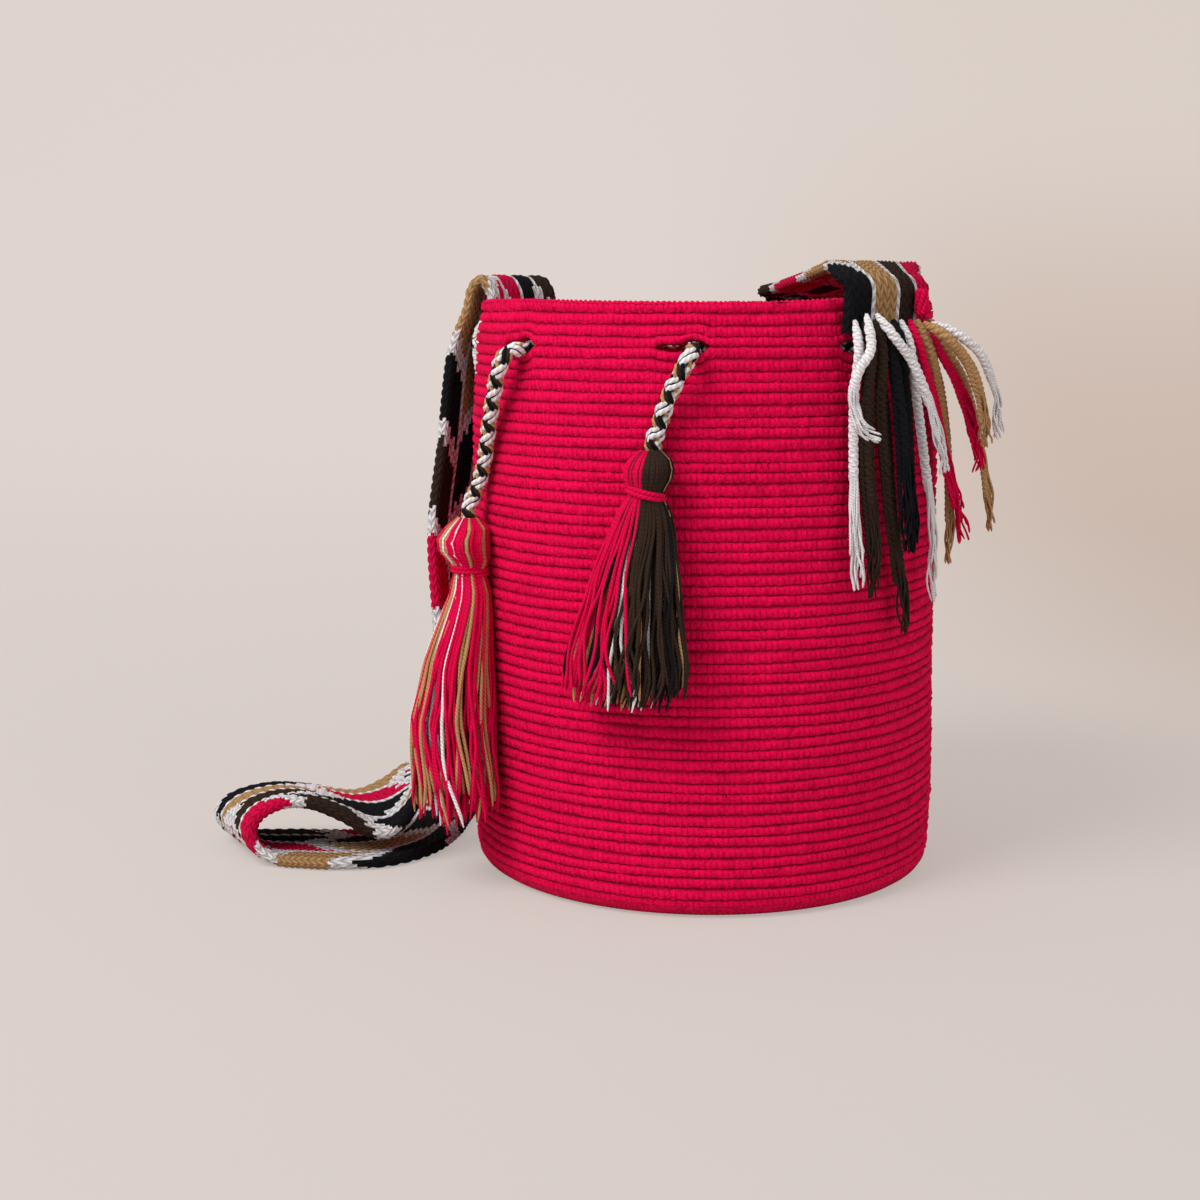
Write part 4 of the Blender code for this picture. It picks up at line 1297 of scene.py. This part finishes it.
knot_line = resample([around(*place) for place in KNOT_ROUTE], 0.0004)
knot_one, knot_two = moving_frames(knot_line)
knot_turn = np.linspace(0, 0.5 * math.pi, len(knot_line))
knot_swell = 1 + KNOT_SWELL * np.sin(np.linspace(0, math.pi, len(knot_line)))
knot_yarns = Yarns()
for number in range(7):
    spread = KNOT_SPREAD * knot_swell if number else 0.0 * knot_swell
    turn = knot_turn + math.radians(60 * (number - 1))
    stalk = knot_line + (spread * np.cos(turn))[:, None] * knot_one
    stalk = stalk + (spread * np.sin(turn))[:, None] * knot_two
    knot_yarns.lay(stalk[number % 3 :], KNOT_YARN, "crimson", sides=8)
knot = knot_yarns.piece("red_knot", ["strap_end_knot"], "red_yarn")


# Floor and backdrop: one seamless pale paper sheet that curves up behind the bag. Its colour
# has painted shade near the camera and painted light at the back, which even out the lamps'
# light, and a painted warm shadow low at the back right.
BACKDROP = (0.735, 0.666, 0.625)
# Colour of the painted warm shadow low at the back right
PAINTED_SHADOW_COLOUR = (0.85, 0.77, 0.72)
# Share of the sheet that the camera sees as its plain colour, without shadow
PLAIN_SHARE = 0.62
SHEET_SIDE = 4.0
SHEET_FRONT = -4.0
SHEET_BEND_AT = 1.6
SHEET_BEND = 1.2
SHEET_TOP = 5.0
FORWARD = np.array([-TO_CAMERA_RIGHT[1], TO_CAMERA_RIGHT[0], 0.0])


def backdrop_material():
    made = bpy.data.materials.new("backdrop_paper")
    made.use_nodes = True
    shader = made.node_tree.nodes["Principled BSDF"]
    shader.inputs["Roughness"].default_value = 0.9
    shader.inputs["Specular IOR Level"].default_value = 0.1
    nodes = Nodes(made)

    def along(direction, start, end, low, high):
        """A smooth change from low to high along a direction over the floor."""
        inputs = {0: nodes.place, 1: direction}
        dot = nodes.add("ShaderNodeVectorMath", inputs, operation="DOT_PRODUCT")
        value = dot.outputs["Value"]
        return nodes.ramp(value, start, end, low, high, interpolation_type="SMOOTHSTEP")

    # Painted shade near the camera and painted light at the back, which even out the lamps' light
    duller = along(FORWARD, -0.6, 2.2, 0.86, 1.09)
    plain = nodes.add("ShaderNodeVectorMath", {0: BACKDROP, "Scale": duller}, operation="SCALE")
    # Painted warm shadow: at the back right, strongest low down and fading upwards
    back_right = nodes.math(
        "MULTIPLY",
        along(TO_CAMERA_RIGHT, 0.0, 0.75, 0.0, 1.0),
        along(FORWARD, -0.25, 0.75, 0.0, 1.0),
    )
    painted_shadow = nodes.math("MULTIPLY", back_right, along((0.0, 0.0, 1.0), 0.05, 0.70, 1.0, 0.15))
    inputs = {0: painted_shadow, 6: plain.outputs[0], 7: (*PAINTED_SHADOW_COLOUR, 1.0)}
    tint = nodes.add("ShaderNodeMix", inputs, data_type="RGBA", blend_type="MULTIPLY").outputs[2]
    nodes.tree.links.new(tint, shader.inputs["Base Color"])
    glow = nodes.add("ShaderNodeEmission", {"Color": tint})
    seen = nodes.add("ShaderNodeLightPath").outputs["Is Camera Ray"]
    share = nodes.math("MULTIPLY", seen, PLAIN_SHARE)
    inputs = {"Fac": share, 1: shader.outputs[0], 2: glow.outputs[0]}
    mixed = nodes.add("ShaderNodeMixShader", inputs)
    surface = made.node_tree.nodes["Material Output"].inputs["Surface"]
    nodes.tree.links.new(mixed.outputs[0], surface)
    return made


def make_backdrop():
    profile = [(SHEET_FRONT, 0.0), (SHEET_BEND_AT, 0.0)]
    for degrees in range(10, 91, 10):
        turn = math.radians(degrees)
        depth = SHEET_BEND_AT + SHEET_BEND * math.sin(turn)
        profile.append((depth, SHEET_BEND - SHEET_BEND * math.cos(turn)))
    profile.append((SHEET_BEND_AT + SHEET_BEND, SHEET_TOP))
    points = [
        FORWARD * depth + TO_CAMERA_RIGHT * side + np.array([0.0, 0.0, height])
        for depth, height in profile
        for side in (-SHEET_SIDE, SHEET_SIDE)
    ]
    quads = np.array([[2 * k, 2 * k + 1, 2 * k + 3, 2 * k + 2] for k in range(len(profile) - 1)])
    skin = Skin()
    skin.add(np.array(points), quads, np.zeros((len(quads), 4, 2)))
    skin.made("backdrop", [backdrop_material()])


make_backdrop()


# Light: a large soft lamp from the upper left, a weak fill, and an even sky
AIM = (0.0, 0.0, 0.12)
KEY = (-1.1, -1.0, 1.7, 1.1, 34.0)
FILL = (1.6, -1.4, 1.2, 1.6, 6.0)
SKY = (1.0, 0.985, 0.97, 1.0)
SKY_STRENGTH = 0.62


def area_lamp(name, right, forward, up, size, power):
    place = right * TO_CAMERA_RIGHT + forward * FORWARD + np.array([0.0, 0.0, up])
    data = bpy.data.lights.new(name, "AREA")
    data.shape = "DISK"
    data.size = size
    data.energy = power
    lamp = bpy.data.objects.new(name, data)
    lamp.location = place
    direction = np.array(AIM) - place
    yaw = math.atan2(direction[1], direction[0]) - math.pi / 2
    pitch = math.atan2(math.hypot(direction[0], direction[1]), -direction[2])
    lamp.rotation_euler = (pitch, 0.0, yaw)
    bpy.context.scene.collection.objects.link(lamp)


area_lamp("key", *KEY)
area_lamp("fill", *FILL)
world = bpy.data.worlds.new("sky")
bpy.context.scene.world = world
world.use_nodes = True
world.node_tree.nodes["Background"].inputs["Color"].default_value = SKY
world.node_tree.nodes["Background"].inputs["Strength"].default_value = SKY_STRENGTH
bpy.context.scene.view_settings.view_transform = "Standard"
